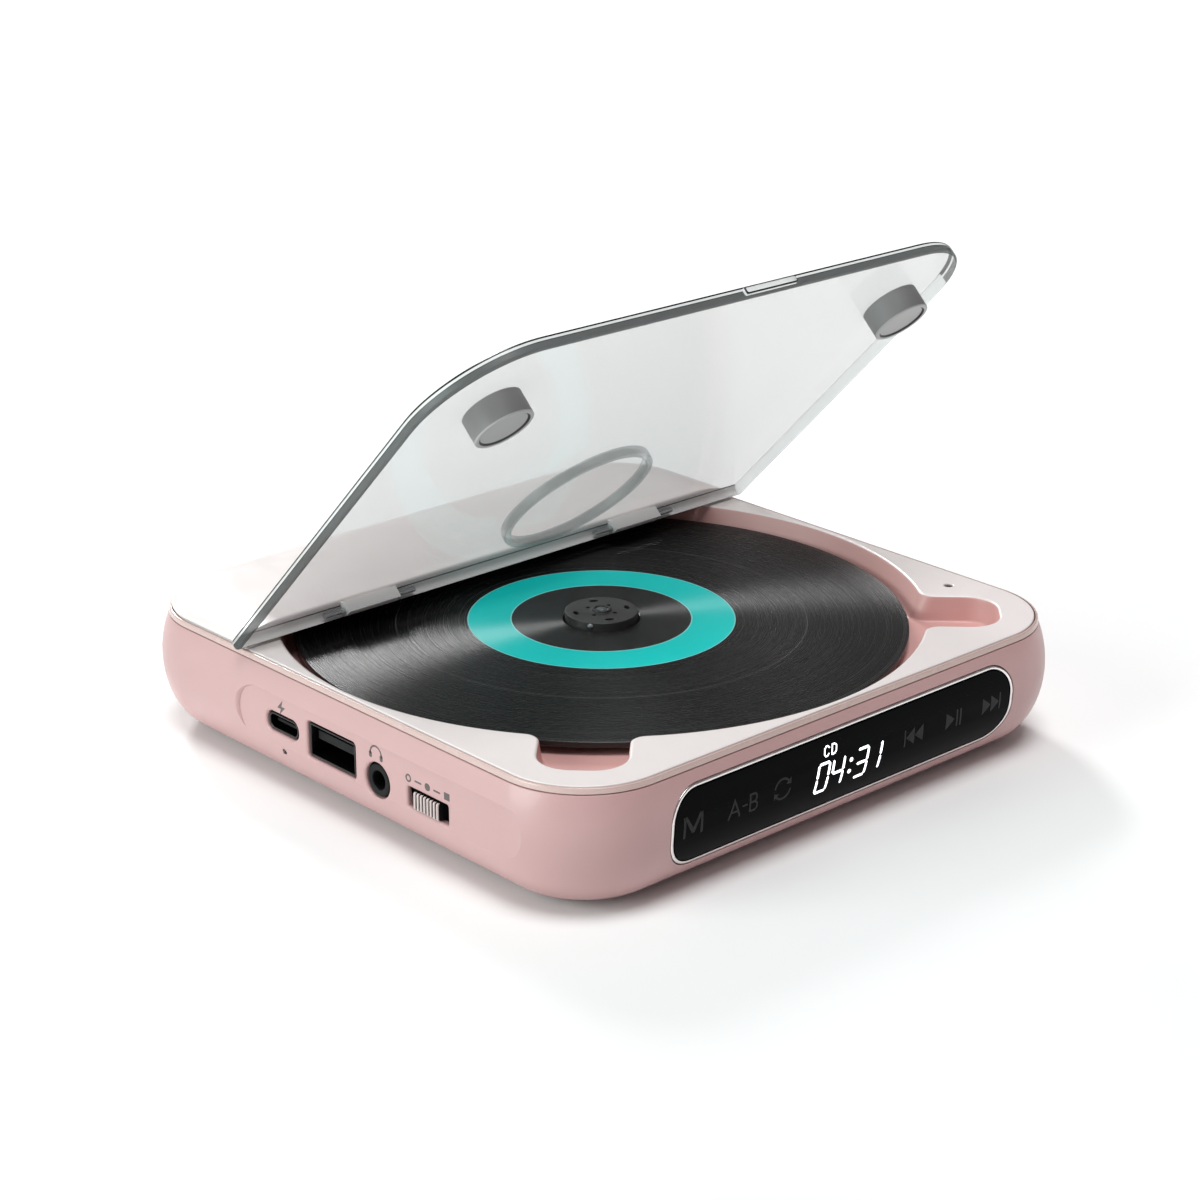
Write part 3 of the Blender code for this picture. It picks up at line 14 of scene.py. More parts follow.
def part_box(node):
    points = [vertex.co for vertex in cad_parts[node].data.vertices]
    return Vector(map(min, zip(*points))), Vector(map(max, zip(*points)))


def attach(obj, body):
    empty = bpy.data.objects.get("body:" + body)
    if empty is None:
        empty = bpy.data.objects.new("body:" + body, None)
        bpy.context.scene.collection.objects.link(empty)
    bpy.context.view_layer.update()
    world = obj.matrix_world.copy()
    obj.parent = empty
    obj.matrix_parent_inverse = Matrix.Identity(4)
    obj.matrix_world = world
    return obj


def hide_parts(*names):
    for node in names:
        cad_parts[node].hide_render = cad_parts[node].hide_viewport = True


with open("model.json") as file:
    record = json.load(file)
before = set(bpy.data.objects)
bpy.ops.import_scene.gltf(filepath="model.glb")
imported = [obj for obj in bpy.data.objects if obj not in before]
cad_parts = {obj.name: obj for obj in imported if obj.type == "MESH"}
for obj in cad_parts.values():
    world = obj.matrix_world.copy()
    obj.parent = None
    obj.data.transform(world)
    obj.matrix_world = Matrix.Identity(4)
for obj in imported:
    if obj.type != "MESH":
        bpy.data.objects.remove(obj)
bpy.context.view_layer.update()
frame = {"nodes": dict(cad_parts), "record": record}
MM = 0.001


# ---- sizes from the frame

def low(node):
    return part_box(node)[0]


def high(node):
    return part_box(node)[1]


def middle(node):
    return (low(node) + high(node)) / 2


BODY_HALF = high("side_shell").x
BASE_Z = low("side_shell").z
SHELL_TOP_Z = high("side_shell").z
BELLY_Z = BASE_Z + 13.8 * MM
BODY_CORNER = 19.5 * MM
SHELL_TOP_INSET = 1.76 * MM
SHELL_BASE_INSET = 8.5 * MM
SHELL_WALL = 1.5 * MM
DECK_Z = high("top_deck").z
DECK_HALF = high("top_deck").x
DECK_INSET = BODY_HALF - DECK_HALF
TRIM_LOW_Z = low("trim_ring").z
TRIM_TOP_Z = high("trim_ring").z
DISC_TOP_Z = high("disc").z
DISC_LOW_Z = low("disc").z
DISC_RADIUS = high("disc").x
WELL_RADIUS = DISC_RADIUS + 3.3 * MM
FLOOR_Z = DISC_LOW_Z - 1.5 * MM
FLOOR_UNDER_Z = FLOOR_Z - 1.2 * MM
NOTCH_HALF = 8.0 * MM
NOTCH_END = WELL_RADIUS + 14.0 * MM
HINGE = Vector(next(j for j in frame["record"]["behaviour"]["joints"]
                    if j["name"] == "lid_hinge")["pos_m"])
LID_OPEN = radians(46.0)
LID_HALF = high("lid_panel").x
LID_THICKNESS = 2.5 * MM
LID_EDGE = 0.50 * MM
LID_FRONT_Y = -(DECK_HALF + 2.6 * MM)
STRIP_LOW_Z = low("rear_strip").z
STRIP_TOP_Z = high("rear_strip").z
STRIP_FRONT_Y = HINGE.y + LID_THICKNESS / 2 + 0.3 * MM
KNUCKLE_X = middle("hinge_pin_right").x
KNUCKLE_HALF = 6.0 * MM
PORT_X = -BODY_HALF + 0.65 * MM
PANEL_LOW = low("touch_panel")
PANEL_HIGH = high("touch_panel")
PANEL_CORNER = 5.8 * MM
CORNER_STEPS = 24
ON_AXIS = 1e-7
USB_C_SHELL = (4.55 * MM, 1.65 * MM, 1.485 * MM)
USB_A_SHELL = (6.8 * MM, 3.25 * MM, 0.4 * MM)


# ---- materials

def feed(tree, node, sockets):
    """Set each named socket to a value, or link it to another node's output."""
    for name, value in sockets.items():
        if isinstance(value, bpy.types.NodeSocket):
            tree.links.new(value, node.inputs[name])
        else:
            node.inputs[name].default_value = value
    return node


def add_node(tree, kind, sockets):
    return feed(tree, tree.nodes.new("ShaderNode" + kind), sockets)


def start_material(name, roughness, metallic=0.0, specular=0.5):
    """A Principled material and the handles its detail is wired with."""
    made = bpy.data.materials.new(name)
    made.use_nodes = True
    tree = made.node_tree
    shader = feed(tree, tree.nodes["Principled BSDF"], {
        "Roughness": roughness, "Metallic": metallic, "Specular IOR Level": specular})
    where = tree.nodes.new("ShaderNodeTexCoord")
    return made, tree, shader, where.outputs["Object"]


def noise(tree, where, scale, detail=3.0, roughness=0.5):
    return add_node(tree, "TexNoise", {"Scale": scale, "Detail": detail, "Roughness": roughness,
                                       "Vector": where}).outputs["Fac"]


def ramp(tree, factor, stops, interpolation="LINEAR"):
    node = tree.nodes.new("ShaderNodeValToRGB")
    node.color_ramp.interpolation = interpolation
    while len(node.color_ramp.elements) < len(stops):
        node.color_ramp.elements.new(0.5)
    for element, (place, colour) in zip(node.color_ramp.elements, stops):
        element.position = place
        element.color = (*colour, 1.0)
    tree.links.new(factor, node.inputs["Fac"])
    return node.outputs["Color"]


def spread(tree, factor, low_value, high_value):
    """Stretch the middle of a noise to a range of values."""
    return add_node(tree, "MapRange", {
        "From Min": 0.3, "From Max": 0.7, "To Min": low_value, "To Max": high_value,
        "Value": factor}).outputs["Result"]


def bump(tree, height, shader, distance, strength=1.0):
    node = add_node(tree, "Bump", {"Strength": strength, "Distance": distance, "Height": height})
    tree.links.new(node.outputs["Normal"], shader.inputs["Normal"])


def shade(colour, share):
    return tuple(min(1.0, c * share) for c in colour)


def drifting(tree, factor, colour, drift):
    """The colour, a little darker and lighter from place to place."""
    return ramp(tree, factor, [(0.30, shade(colour, 1.0 - drift)),
                               (0.70, shade(colour, 1.0 + drift))])


def moulded(name, colour, roughness=0.42, drift=0.03, grain=1600.0, depth=0.000012,
            specular=0.5, coat=0.0):
    """Moulded plastic or rubber: fine texture, slow colour drift, uneven gloss."""
    made, tree, shader, where = start_material(name, roughness, specular=specular)
    gloss = noise(tree, where, 240.0, 4.0)
    feed(tree, shader, {
        "Base Color": drifting(tree, noise(tree, where, 28.0, 2.0), colour, drift),
        "Roughness": spread(tree, gloss, roughness - 0.05, roughness + 0.05),
        "Coat Weight": coat, "Coat Roughness": 0.12})
    bump(tree, noise(tree, where, grain, 3.0, 0.6), shader, depth)
    return made


def brushed(name, colour, roughness=0.28):
    """Metal with fine drawn lines along X."""
    made, tree, shader, where = start_material(name, roughness, metallic=1.0)
    mapping = add_node(tree, "Mapping", {"Scale": (1.0, 40.0, 40.0), "Vector": where})
    lines = noise(tree, mapping.outputs["Vector"], 220.0, 4.0)
    feed(tree, shader, {
        "Base Color": ramp(tree, lines, [(0.25, shade(colour, 0.85)),
                                         (0.75, shade(colour, 1.08))]),
        "Roughness": spread(tree, lines, roughness - 0.07, roughness + 0.07)})
    bump(tree, lines, shader, 0.000006)
    return made


def glowing(name, colour, strength):
    """A lit mark behind dark glass."""
    made, tree, shader, where = start_material(name, 0.3)
    tone = ramp(tree, noise(tree, where, 900.0, 2.0),
                [(0.35, shade(colour, 0.93)), (0.65, colour)])
    feed(tree, shader, {"Emission Color": tone, "Base Color": tone,
                        "Emission Strength": strength})
    return made


def printed_disc():
    """Black disc print with grooves, a teal label ring and a dark grey middle."""
    made, tree, shader, where = start_material("disc_print_look", 0.27)
    split = add_node(tree, "SeparateXYZ", {"Vector": where})
    flat = add_node(tree, "CombineXYZ", {"X": split.outputs["X"], "Y": split.outputs["Y"]})
    length = add_node(tree, "VectorMath", {0: flat.outputs["Vector"]})
    length.operation = "LENGTH"
    radius = length.outputs["Value"]
    share = add_node(tree, "Math", {0: radius, 1: DISC_RADIUS})
    share.operation = "DIVIDE"

    def at(mm):
        return mm * MM / DISC_RADIUS

    bands = ramp(tree, share.outputs["Value"], [
        (0.0, (0.018, 0.017, 0.017)), (at(17.4), (0.30, 0.80, 0.77)), (at(17.75), TEAL),
        (at(25.85), (0.25, 0.78, 0.75)), (at(26.15), (0.003, 0.003, 0.003)),
        (at(26.5), (0.006, 0.006, 0.006)),
        (at(39.9), (0.060, 0.060, 0.060)), (at(40.15), (0.004, 0.004, 0.004)),
        (at(58.8), (0.016, 0.016, 0.016)), (at(59.3), (0.006, 0.006, 0.006))], "CONSTANT")
    grooves = add_node(tree, "TexNoise", {"Scale": 2600.0, "Detail": 4.0, "Roughness": 0.65})
    grooves.noise_dimensions = "1D"
    tree.links.new(radius, grooves.inputs["W"])
    outside = add_node(tree, "Math", {0: radius, 1: 26.2 * MM})
    outside.operation = "GREATER_THAN"
    cut = add_node(tree, "Math", {0: outside.outputs["Value"], 1: grooves.outputs["Fac"]})
    cut.operation = "MULTIPLY"
    depth = cut.outputs["Value"]
    streak = ramp(tree, depth, [(0.0, (0.0, 0.0, 0.0)), (0.55, (0.0, 0.0, 0.0)),
                                (0.80, (0.028, 0.028, 0.028))])
    tint = tree.nodes.new("ShaderNodeMix")
    tint.data_type = "RGBA"
    tint.blend_type = "ADD"
    feed(tree, tint, {"Factor": 1.0, "A": bands, "B": streak})
    bump(tree, depth, shader, 0.00005)
    tangent = tree.nodes.new("ShaderNodeTangent")
    tangent.direction_type = "RADIAL"
    tangent.axis = "Z"
    feed(tree, shader, {
        "Base Color": tint.outputs["Result"], "Tangent": tangent.outputs["Tangent"],
        "Anisotropic": 0.95, "Anisotropic Rotation": 0.25,
        "Roughness": spread(tree, depth, 0.25, 0.29)})
    return made


def clear(name, colour, alpha, roughness=0.06, drift=0.04):
    """Clear or smoky acrylic with faint flow marks."""
    made, tree, shader, where = start_material(name, roughness, specular=0.35)
    feed(tree, shader, {
        "Base Color": drifting(tree, noise(tree, where, 14.0, 2.0), colour, drift),
        "Roughness": spread(tree, noise(tree, where, 60.0), roughness, roughness + 0.05),
        "Alpha": alpha})
    bump(tree, noise(tree, where, 35.0, 1.0), shader, 0.000002, 0.05)
    return made


TEAL = (0.0, 0.70, 0.66)
ROSE = (0.55, 0.335, 0.33)
# The rose plastic lightened where the tops of the deck and hinge strip are washed by light:
# painted light.
PAINTED_LIGHT_ROSE = (0.80, 0.73, 0.72)
LOOK = {
    "rose": moulded("rose_shell_look", ROSE, 0.40, coat=0.15),
    "pale": moulded("pale_deck_look", PAINTED_LIGHT_ROSE, 0.36, drift=0.015, coat=0.2),
    "well": moulded("well_wall_look", (0.66, 0.37, 0.35), 0.42),
    "trim": moulded("trim_ring_look", (0.60, 0.43, 0.40), 0.25, coat=0.5),
    "lid": clear("clear_lid_look", (0.64, 0.63, 0.63), 0.29),
    # Painted light and shade on the clear lid's edge: light bands on the edge and the hinge roll,
    # dark lines and a dark lower band.
    "lid_edge_painted_light": clear("lid_edge_painted_light_look", (0.72, 0.74, 0.735), 0.55, 0.15),
    "lid_painted_shade_band": clear("lid_painted_shade_band_look", (0.030, 0.038, 0.037), 0.90, 0.35, 0.30),
    "lid_roll_painted_light": clear("lid_roll_painted_light_look", (0.74, 0.72, 0.715), 0.93, 0.2),
    "lid_painted_dark_line": clear("lid_painted_dark_line_look", (0.018, 0.019, 0.018), 1.0, 0.2),
    # The clear lid ring's sides, darker as painted shade.
    "ring_side_painted_shade": clear("ring_side_painted_shade_look", (0.22, 0.25, 0.245), 0.46, 0.12),
    "pad": moulded("grey_pad_look", (0.25, 0.245, 0.245), 0.55, grain=2600.0),
    "pad_face": moulded("pad_face_look", (0.46, 0.455, 0.455), 0.5, grain=2600.0),
    "pad_line": moulded("pad_line_look", (0.03, 0.03, 0.03), 0.5),
    "glass": moulded("panel_glass_look", (0.002, 0.002, 0.0024), 0.12, grain=300.0,
                     depth=0.000002, specular=0.03),
    "rim": brushed("bright_rim_look", (0.90, 0.84, 0.83), 0.22),
    "mark": moulded("panel_mark_look", (0.026, 0.026, 0.028), 0.4, grain=3000.0, specular=0.1),
    "lit": glowing("lit_mark_look", (0.92, 0.96, 1.0), 2.2),
    "ink": moulded("side_ink_look", (0.11, 0.085, 0.085), 0.5, grain=3000.0),
    "steel": brushed("steel_look", (0.55, 0.55, 0.57)),
    "plated": brushed("connector_look", (0.40, 0.40, 0.42), 0.3),
    "port": brushed("port_look", (0.055, 0.053, 0.053), 0.34),
    "gold": brushed("contact_look", (0.78, 0.55, 0.22), 0.25),
    "black": moulded("black_plastic_look", (0.008, 0.008, 0.0085), 0.38, specular=0.12),
    "knob": moulded("knob_look", (0.62, 0.52, 0.50), 0.42),
    "rubber": moulded("rubber_look", (0.022, 0.022, 0.022), 0.8, grain=2200.0,
                      depth=0.00003, specular=0.3),
    "board": moulded("board_look", (0.012, 0.10, 0.045), 0.4, drift=0.15, grain=900.0),
    "chip": moulded("chip_look", (0.02, 0.02, 0.02), 0.45),
    "wrap": moulded("battery_look", (0.30, 0.31, 0.33), 0.35, drift=0.06),
    "led": moulded("led_look", (0.015, 0.016, 0.015), 0.2, coat=0.3),
    "lens": clear("pickup_lens_look", (0.10, 0.20, 0.42), 0.8, 0.03),
    "disc": printed_disc(),
    "hub": moulded("hub_look", (0.040, 0.038, 0.038), 0.38),
    "floor": moulded("floor_look", (0.93, 0.93, 0.93), 0.7, drift=0.004, grain=60.0,
                     depth=0.00001),
}


# ---- making of meshes

def object_from(bm, name, looks):
    mesh = bpy.data.meshes.new(name)
    bm.to_mesh(mesh)
    bm.free()
    obj = bpy.data.objects.new(name, mesh)
    bpy.context.scene.collection.objects.link(obj)
    for look in looks:
        mesh.materials.append(LOOK[look])
    return obj


def hang(obj, body, replaced=()):
    """Put a piece on its body and hide the CAD nodes it replaces."""
    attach(obj, body)
    if replaced:
        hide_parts(*replaced)


def finish_piece(obj, body, replaced=(), angle=35.0, even=True):
    """Shade a piece and hang it."""
    obj.data.shade_smooth()
    obj.data.set_sharp_from_angle(angle=radians(angle))
    if even:
        modifier = obj.modifiers.new("even", "WEIGHTED_NORMAL")
        modifier.keep_sharp = True
        modifier.weight = 100
    hang(obj, body, replaced)


def skin(bm, rows, looks=None):
    """Quads between rows of verts, each row a closed loop. looks: a material per band."""
    for band, (first, second) in enumerate(zip(rows, rows[1:])):
        for index in range(len(first)):
            after = (index + 1) % len(first)
            face = bm.faces.new((first[index], first[after], second[after], second[index]))
            if looks:
                face.material_index = looks[band]


def loft(rings, closed=False, looks=None, caps=True):
    """Skin between rings of equal count, capped or closed on itself."""
    bm = bmesh.new()
    rows = [[bm.verts.new(point) for point in ring] for ring in rings]
    skin(bm, rows + rows[:1] if closed else rows, looks)
    if caps and not closed:
        for row, band in ((rows[0], 0), (rows[-1], -1)):
            face = bm.faces.new(row)
            if looks:
                face.material_index = looks[band]
    bmesh.ops.recalc_face_normals(bm, faces=bm.faces)
    return bm


def at_x(outline, x):
    """An outline in (y, z), laid at one x."""
    return [Vector((x, y, z)) for y, z in outline]


def tool(rings):
    """A solid for a Boolean, lofted through rings."""
    return object_from(loft(rings), "tool", [])


def prism(bm, outline, start, end):
    """A closed prism along X, from an outline in (y, z)."""
    rows = [[bm.verts.new((x, y, z)) for y, z in outline] for x in (start, end)]
    skin(bm, rows)
    for row in rows:
        bm.faces.new(row)


def quarter(steps, first=0):
    """(sine, 1 - cosine) at even steps of a quarter turn."""
    for step in range(first, steps + 1):
        angle = pi / 2 * step / steps
        yield sin(angle), 1 - cos(angle)


def scaled(points):
    """Points given in millimetres."""
    return [(u * MM, v * MM) for u, v in points]


def arc(centre, radius, start, end, steps):
    """Points of an arc in degrees, both ends included."""
    turns = [radians(start + (end - start) * step / steps) for step in range(steps + 1)]
    return [Vector((centre[0] + radius * cos(turn), centre[1] + radius * sin(turn)))
            for turn in turns]


def rounded_rect(half_u, half_v, radius, steps=8, centre=(0.0, 0.0)):
    """A rounded rectangle, counter-clockwise."""
    points = []
    for quarter, (su, sv) in enumerate(((1, 1), (-1, 1), (-1, -1), (1, -1))):
        corner = (centre[0] + su * (half_u - radius), centre[1] + sv * (half_v - radius))
        points += arc(corner, radius, quarter * 90, quarter * 90 + 90, steps)
    return points


def body_ring(inset, z, steps=CORNER_STEPS):
    """The body's rounded square, set in from its widest line."""
    half = BODY_HALF - inset
    return [Vector((p.x, p.y, z))
            for p in rounded_rect(half, half, max(BODY_CORNER - inset, 0.4 * MM), steps)]


def outer_inset(z):
    if z >= BELLY_Z:
        rise = (z - BELLY_Z) / (SHELL_TOP_Z - BELLY_Z)
        return SHELL_TOP_INSET * rise * rise
    drop = min((BELLY_Z - z) / (BELLY_Z - BASE_Z), 1.0)
    return SHELL_BASE_INSET * (1.0 - sqrt(1.0 - drop * drop))


def outer_slope(z):
    step = 0.02 * MM
    return (outer_inset(z + step) - outer_inset(z - step)) / (2 * step)


def outer_normal(point):
    """Normal of the body's outer face at a point on it, or None off the face."""
    core = BODY_HALF - BODY_CORNER
    side = Vector((copysign(max(abs(point.x) - core, 0.0), point.x),
                   copysign(max(abs(point.y) - core, 0.0), point.y)))
    if side.length < 1e-6:
        return None
    if abs(side.length - (BODY_CORNER - outer_inset(point.z))) > 0.03 * MM:
        return None
    side.normalize()
    return Vector((side.x, side.y, outer_slope(point.z))).normalized()


def true_normals(obj, angle=35.0):
    """Give the faces on the body's outer surface that surface's own normals."""
    mesh = obj.data
    mesh.shade_smooth()
    mesh.set_sharp_from_angle(angle=radians(angle))
    wanted = [corner.vector.copy() for corner in mesh.corner_normals]
    for polygon in mesh.polygons:
        normals = [outer_normal(mesh.vertices[v].co) for v in polygon.vertices]
        if all(n is not None and n.dot(polygon.normal) > 0.9 for n in normals):
            for loop, normal in zip(polygon.loop_indices, normals):
                wanted[loop] = normal
        elif max(abs(c) for c in polygon.normal) > 0.9999:
            for loop in polygon.loop_indices:
                wanted[loop] = polygon.normal.copy()
    mesh.normals_split_custom_set(wanted)


def carve(target, *tools, operation="DIFFERENCE"):
    """Apply a Boolean with each tool and remove the tools."""
    for tool in tools:
        modifier = target.modifiers.new("carve", "BOOLEAN")
        modifier.operation = operation
        modifier.object = tool
        bpy.context.view_layer.objects.active = target
        bpy.ops.object.modifier_apply(modifier=modifier.name)
        bpy.data.objects.remove(tool, do_unlink=True)
    return target


def tool_x(outline, steps):
    """A tool for the left side: an outline in (y, z), grown by each (x, growth) step."""
    return tool([at_x(outline(growth), x) for x, growth in steps])


def oval(centre, half_u, half_v, steps=16):
    return [(centre[0] + half_u * cos(2 * pi * i / steps),
             centre[1] + half_v * sin(2 * pi * i / steps)) for i in range(steps)]


def turned_piece(profile, name, looks, steps=96, centre=(0.0, 0.0), axis="Z"):
    """Turn a closed profile of (radius, height) points about an axis."""
    bm = bmesh.new()
    rows = []
    for radius, height in profile:
        if radius < ON_AXIS:
            rows.append([bm.verts.new((0.0, 0.0, height))] * steps)
        else:
            rows.append([bm.verts.new((x, y, height))
                         for x, y in oval((0.0, 0.0), radius, radius, steps)])
    if profile[0][0] > ON_AXIS:
        rows.append(rows[0])
    for first, second in zip(rows, rows[1:]):
        for i in range(steps):
            after = (i + 1) % steps
            corners = []
            for vert in (first[i], first[after], second[after], second[i]):
                if vert not in corners:
                    corners.append(vert)
            if len(corners) > 2:
                bm.faces.new(corners)
    bmesh.ops.recalc_face_normals(bm, faces=bm.faces)
    if axis == "X":
        bmesh.ops.transform(bm, matrix=Matrix.Rotation(radians(90), 4, "Y"), verts=bm.verts)
    bmesh.ops.translate(bm, vec=(*centre, 0.0) if len(centre) == 2 else centre, verts=bm.verts)
    return object_from(bm, name, looks)


def rounded_profile(points, radius, steps=4):
    """Round every corner of a closed or open profile by the same small radius."""
    rounded = []
    count = len(points)
    for index, (r, z) in enumerate(points):
        here = Vector((r, z))
        before = Vector(points[index - 1])
        after = Vector(points[(index + 1) % count])
        if r < ON_AXIS:
            rounded.append((r, z))
            continue
        back = before - here
        ahead = after - here
        reach = min(radius, back.length * 0.45, ahead.length * 0.45)
        start = here + back.normalized() * reach
        end = here + ahead.normalized() * reach
        for step in range(steps + 1):
            t = step / steps
            point = start * (1 - t) ** 2 + here * 2 * t * (1 - t) + end * t ** 2
            rounded.append((point.x, point.y))
    return rounded


def fill_between(bm, loops):
    """Fill the flat area between closed loops of verts."""
    edges = []
    for loop in loops:
        for pair in zip(loop, loop[1:] + loop[:1]):
            edges.append(bm.edges.get(pair) or bm.edges.new(pair))
    bmesh.ops.triangle_fill(bm, use_beauty=True, use_dissolve=False, edges=edges)


def slab(loops_top, name, looks, place, depth_top, depth_base):
    """Thin closed prisms for printed marks. place(u, v, depth) lays a point on the surface."""
    bm = bmesh.new()
    for outline in loops_top:
        top = [bm.verts.new((u, v, depth_top)) for u, v in outline]
        base = [bm.verts.new((u, v, depth_base)) for u, v in outline]
        bm.faces.new(top)
        bm.faces.new(list(reversed(base)))
        skin(bm, [base, top])
    for half_mm in range(16, 40):
        bmesh.ops.bisect_plane(bm, geom=bm.verts[:] + bm.edges[:] + bm.faces[:],
                               plane_co=(0.0, half_mm * MM / 2, 0.0), plane_no=(0.0, 1.0, 0.0))
    for vert in bm.verts:
        vert.co = place(*vert.co)
    bmesh.ops.recalc_face_normals(bm, faces=bm.faces)
    return object_from(bm, name, looks)


def ribbon(points, width, round_ends=True):
    """Outline of a line of even width drawn through points."""
    points = [Vector(p) for p in points]
    half = width / 2
    left, right = [], []
    for index, point in enumerate(points):
        ahead = points[min(index + 1, len(points) - 1)] - points[max(index - 1, 0)]
        if 0 < index < len(points) - 1:
            first = (point - points[index - 1]).normalized()
            second = (points[index + 1] - point).normalized()
            ahead = first + second
            share = max(0.4, ahead.normalized().dot(second))
        else:
            share = 1.0
        across = ahead.orthogonal().normalized() * half / share
        left.append(point + across)
        right.append(point - across)
    outline = list(right)
    if round_ends:
        outline += cap_arc(points[-1], right[-1] - points[-1])
    outline += list(reversed(left))
    if round_ends:
        outline += cap_arc(points[0], left[0] - points[0])
    return outline


def cap_arc(centre, start, steps=5):
    """The points between the two sides of a rounded line end."""
    turns = [Matrix.Rotation(pi * step / steps, 2) for step in range(1, steps)]
    return [centre + turn @ start for turn in turns]


def dress(node, look):
    """Give a carried-over CAD node its finish."""
    obj = frame["nodes"][node]
    if not obj.material_slots:
        obj.data.materials.append(LOOK[look])
    for place in obj.material_slots:
        place.material = LOOK[look]


# ---- the body

def from_port(steps):
    """(x, growth) steps given in millimetres from the connector flat, inwards."""
    return [(PORT_X + x, growth) for x, growth in scaled(steps)]


def shell_tools():
    """Cutting tools for the connector side and the touch panel's seat."""
    flat_half = 5.5 * MM
    flat_end = 28.6 * MM - flat_half
    row_z = middle("usb_a_socket").z

    def flat(growth):
        half = flat_half + growth
        turn = arc((flat_end, row_z), half, -90, 90, 40)
        return [Vector((-BODY_HALF, row_z - half))] + turn + [Vector((-BODY_HALF, row_z + half))]

    def opening(node_y, node_z, half_y, half_z, corner):
        def outline(growth):
            return rounded_rect(half_y + growth, half_z + growth, corner + growth, 10,
                                (node_y, node_z))
        return outline

    gap = 0.35
    outside = -3.65
    deep = 6.0
    flare = from_port([(outside, 0.95), (0.0, 0.95), (0.06, 0.70), (0.16, 0.52), (0.32, 0.40),
                       (0.55, gap), (deep, gap)])
    tight = [(x, growth - gap * MM) for x, growth in flare]
    straight = from_port([(outside, 0.1), (deep, 0.1)])
    low_row_z = middle("switch_knob").z
    light_z = middle("charge_light").z
    yield tool_x(flat, from_port([(outside, 1.1), (-0.65, 0.80), (-0.45, 0.50), (-0.25, 0.22),
                                  (-0.09, 0.06), (0.0, 0.0)]))
    for node, z, half_y, half_z, corner, steps in (
            ("usb_c_socket", row_z, *USB_C_SHELL, flare),
            ("usb_a_socket", row_z, *USB_A_SHELL, flare),
            ("headphone_jack", low_row_z, 3.1 * MM, 3.1 * MM, 3.09 * MM, flare),
            ("switch_knob", low_row_z, 5.6 * MM, 1.95 * MM, 0.4 * MM, tight),
            ("charge_light", light_z, 0.5 * MM, 0.5 * MM, 0.49 * MM, straight)):
        yield tool_x(opening(middle(node).y, z, half_y, half_z, corner), steps)
    seat = panel_outline(1.0 * MM)
    yield tool([[Vector((p.x, y, p.y)) for p in seat]
                for y in (-BODY_HALF - 3 * MM, -BODY_HALF + 4.5 * MM)])


def panel_outline(growth, steps=12):
    """The touch panel's outline in (x, z): right side from the bottom up, then the left."""
    half_u = PANEL_HIGH.x + growth
    half_v = (PANEL_HIGH.z - PANEL_LOW.z) / 2 + growth
    corner = PANEL_CORNER + growth
    mid = (PANEL_HIGH.z + PANEL_LOW.z) / 2
    right = (arc((half_u - corner, mid - half_v + corner), corner, -90, 0, steps)
             + arc((half_u - corner, mid + half_v - corner), corner, 0, 90, steps))
    return right + [Vector((-p.x, p.y)) for p in reversed(right)]


def on_front(x, z, depth):
    """A point on the front side's curve, sunk by depth."""
    return Vector((x, -(BODY_HALF - outer_inset(z)) + depth, z))


def build_shell():
    lip = 2.35 * MM
    rise = SHELL_TOP_Z - BELLY_Z
    flange_z = BASE_Z + SHELL_WALL
    opening = SHELL_BASE_INSET + 3.0 * MM
    profile = [(SHELL_BASE_INSET * run, BELLY_Z - (BELLY_Z - BASE_Z) * drop)
               for drop, run in reversed(list(quarter(24)))]
    for step in range(1, 13):
        share = step / 12 * (1 - 0.018)
        profile.append((SHELL_TOP_INSET * share * share, BELLY_Z + rise * share))
    profile += [(SHELL_TOP_INSET + 0.02 * MM, SHELL_TOP_Z - 0.05 * MM),
                (SHELL_TOP_INSET + 0.09 * MM, SHELL_TOP_Z), (lip, SHELL_TOP_Z)]
    for step in range(1, 9):
        share = 1 - step / 8
        profile.append((SHELL_WALL + (lip - SHELL_WALL) * share * share, BELLY_Z + rise * share))
    profile += [(SHELL_WALL + (SHELL_BASE_INSET - SHELL_WALL) * run,
                 BELLY_Z - (BELLY_Z - flange_z) * drop) for drop, run in quarter(12, 1)]
    profile += [(opening, flange_z), (opening, BASE_Z)]
    shell = object_from(loft([body_ring(inset, z) for inset, z in profile], closed=True),
                        "shell_body", ["rose"])
    carve(shell, *shell_tools())
    true_normals(shell)
    hang(shell, "body", ["side_shell"])


def build_trim():
    top = BODY_HALF - high("trim_ring").x
    profile = [(top, TRIM_LOW_Z), (top + 0.12 * MM, TRIM_TOP_Z - 0.25 * MM),
               (top + 0.20 * MM, TRIM_TOP_Z - 0.08 * MM), (top + 0.32 * MM, TRIM_TOP_Z),
               (2.35 * MM, TRIM_TOP_Z), (2.35 * MM, TRIM_LOW_Z)]
    ring = object_from(loft([body_ring(inset, z) for inset, z in profile], closed=True),
                       "trim_band", ["trim"])
    finish_piece(ring, "body", ["trim_ring"])


def opening_outline(radius, half_width, end, end_radius, fillet):
    """The disc well joined with the two finger notches, counter-clockwise."""
    points = []
    reach = sqrt((radius + fillet) ** 2 - (half_width + fillet) ** 2)
    mouth = degrees(atan2(half_width + fillet, reach))
    for index, heading in enumerate((-135.0, -45.0)):
        cos_h = cos(radians(heading))
        sin_h = sin(radians(heading))
        local = arc((reach, -half_width - fillet), fillet, 180 - mouth, 90, 10)
        local += arc((end - end_radius, -half_width + end_radius), end_radius, -90, 0, 12)
        local += arc((end - end_radius, half_width - end_radius), end_radius, 0, 90, 12)
        local += arc((reach, half_width + fillet), fillet, -90, -180 + mouth, 10)
        points += [Vector((p.x * cos_h - p.y * sin_h, p.x * sin_h + p.y * cos_h))
                   for p in local]
        first = heading + mouth
        last = (-45.0 - mouth) if index == 0 else (225.0 - mouth)
        steps = 30 if index == 0 else 150
        points += arc((0.0, 0.0), radius, first, last, steps)[1:-1]
    return points


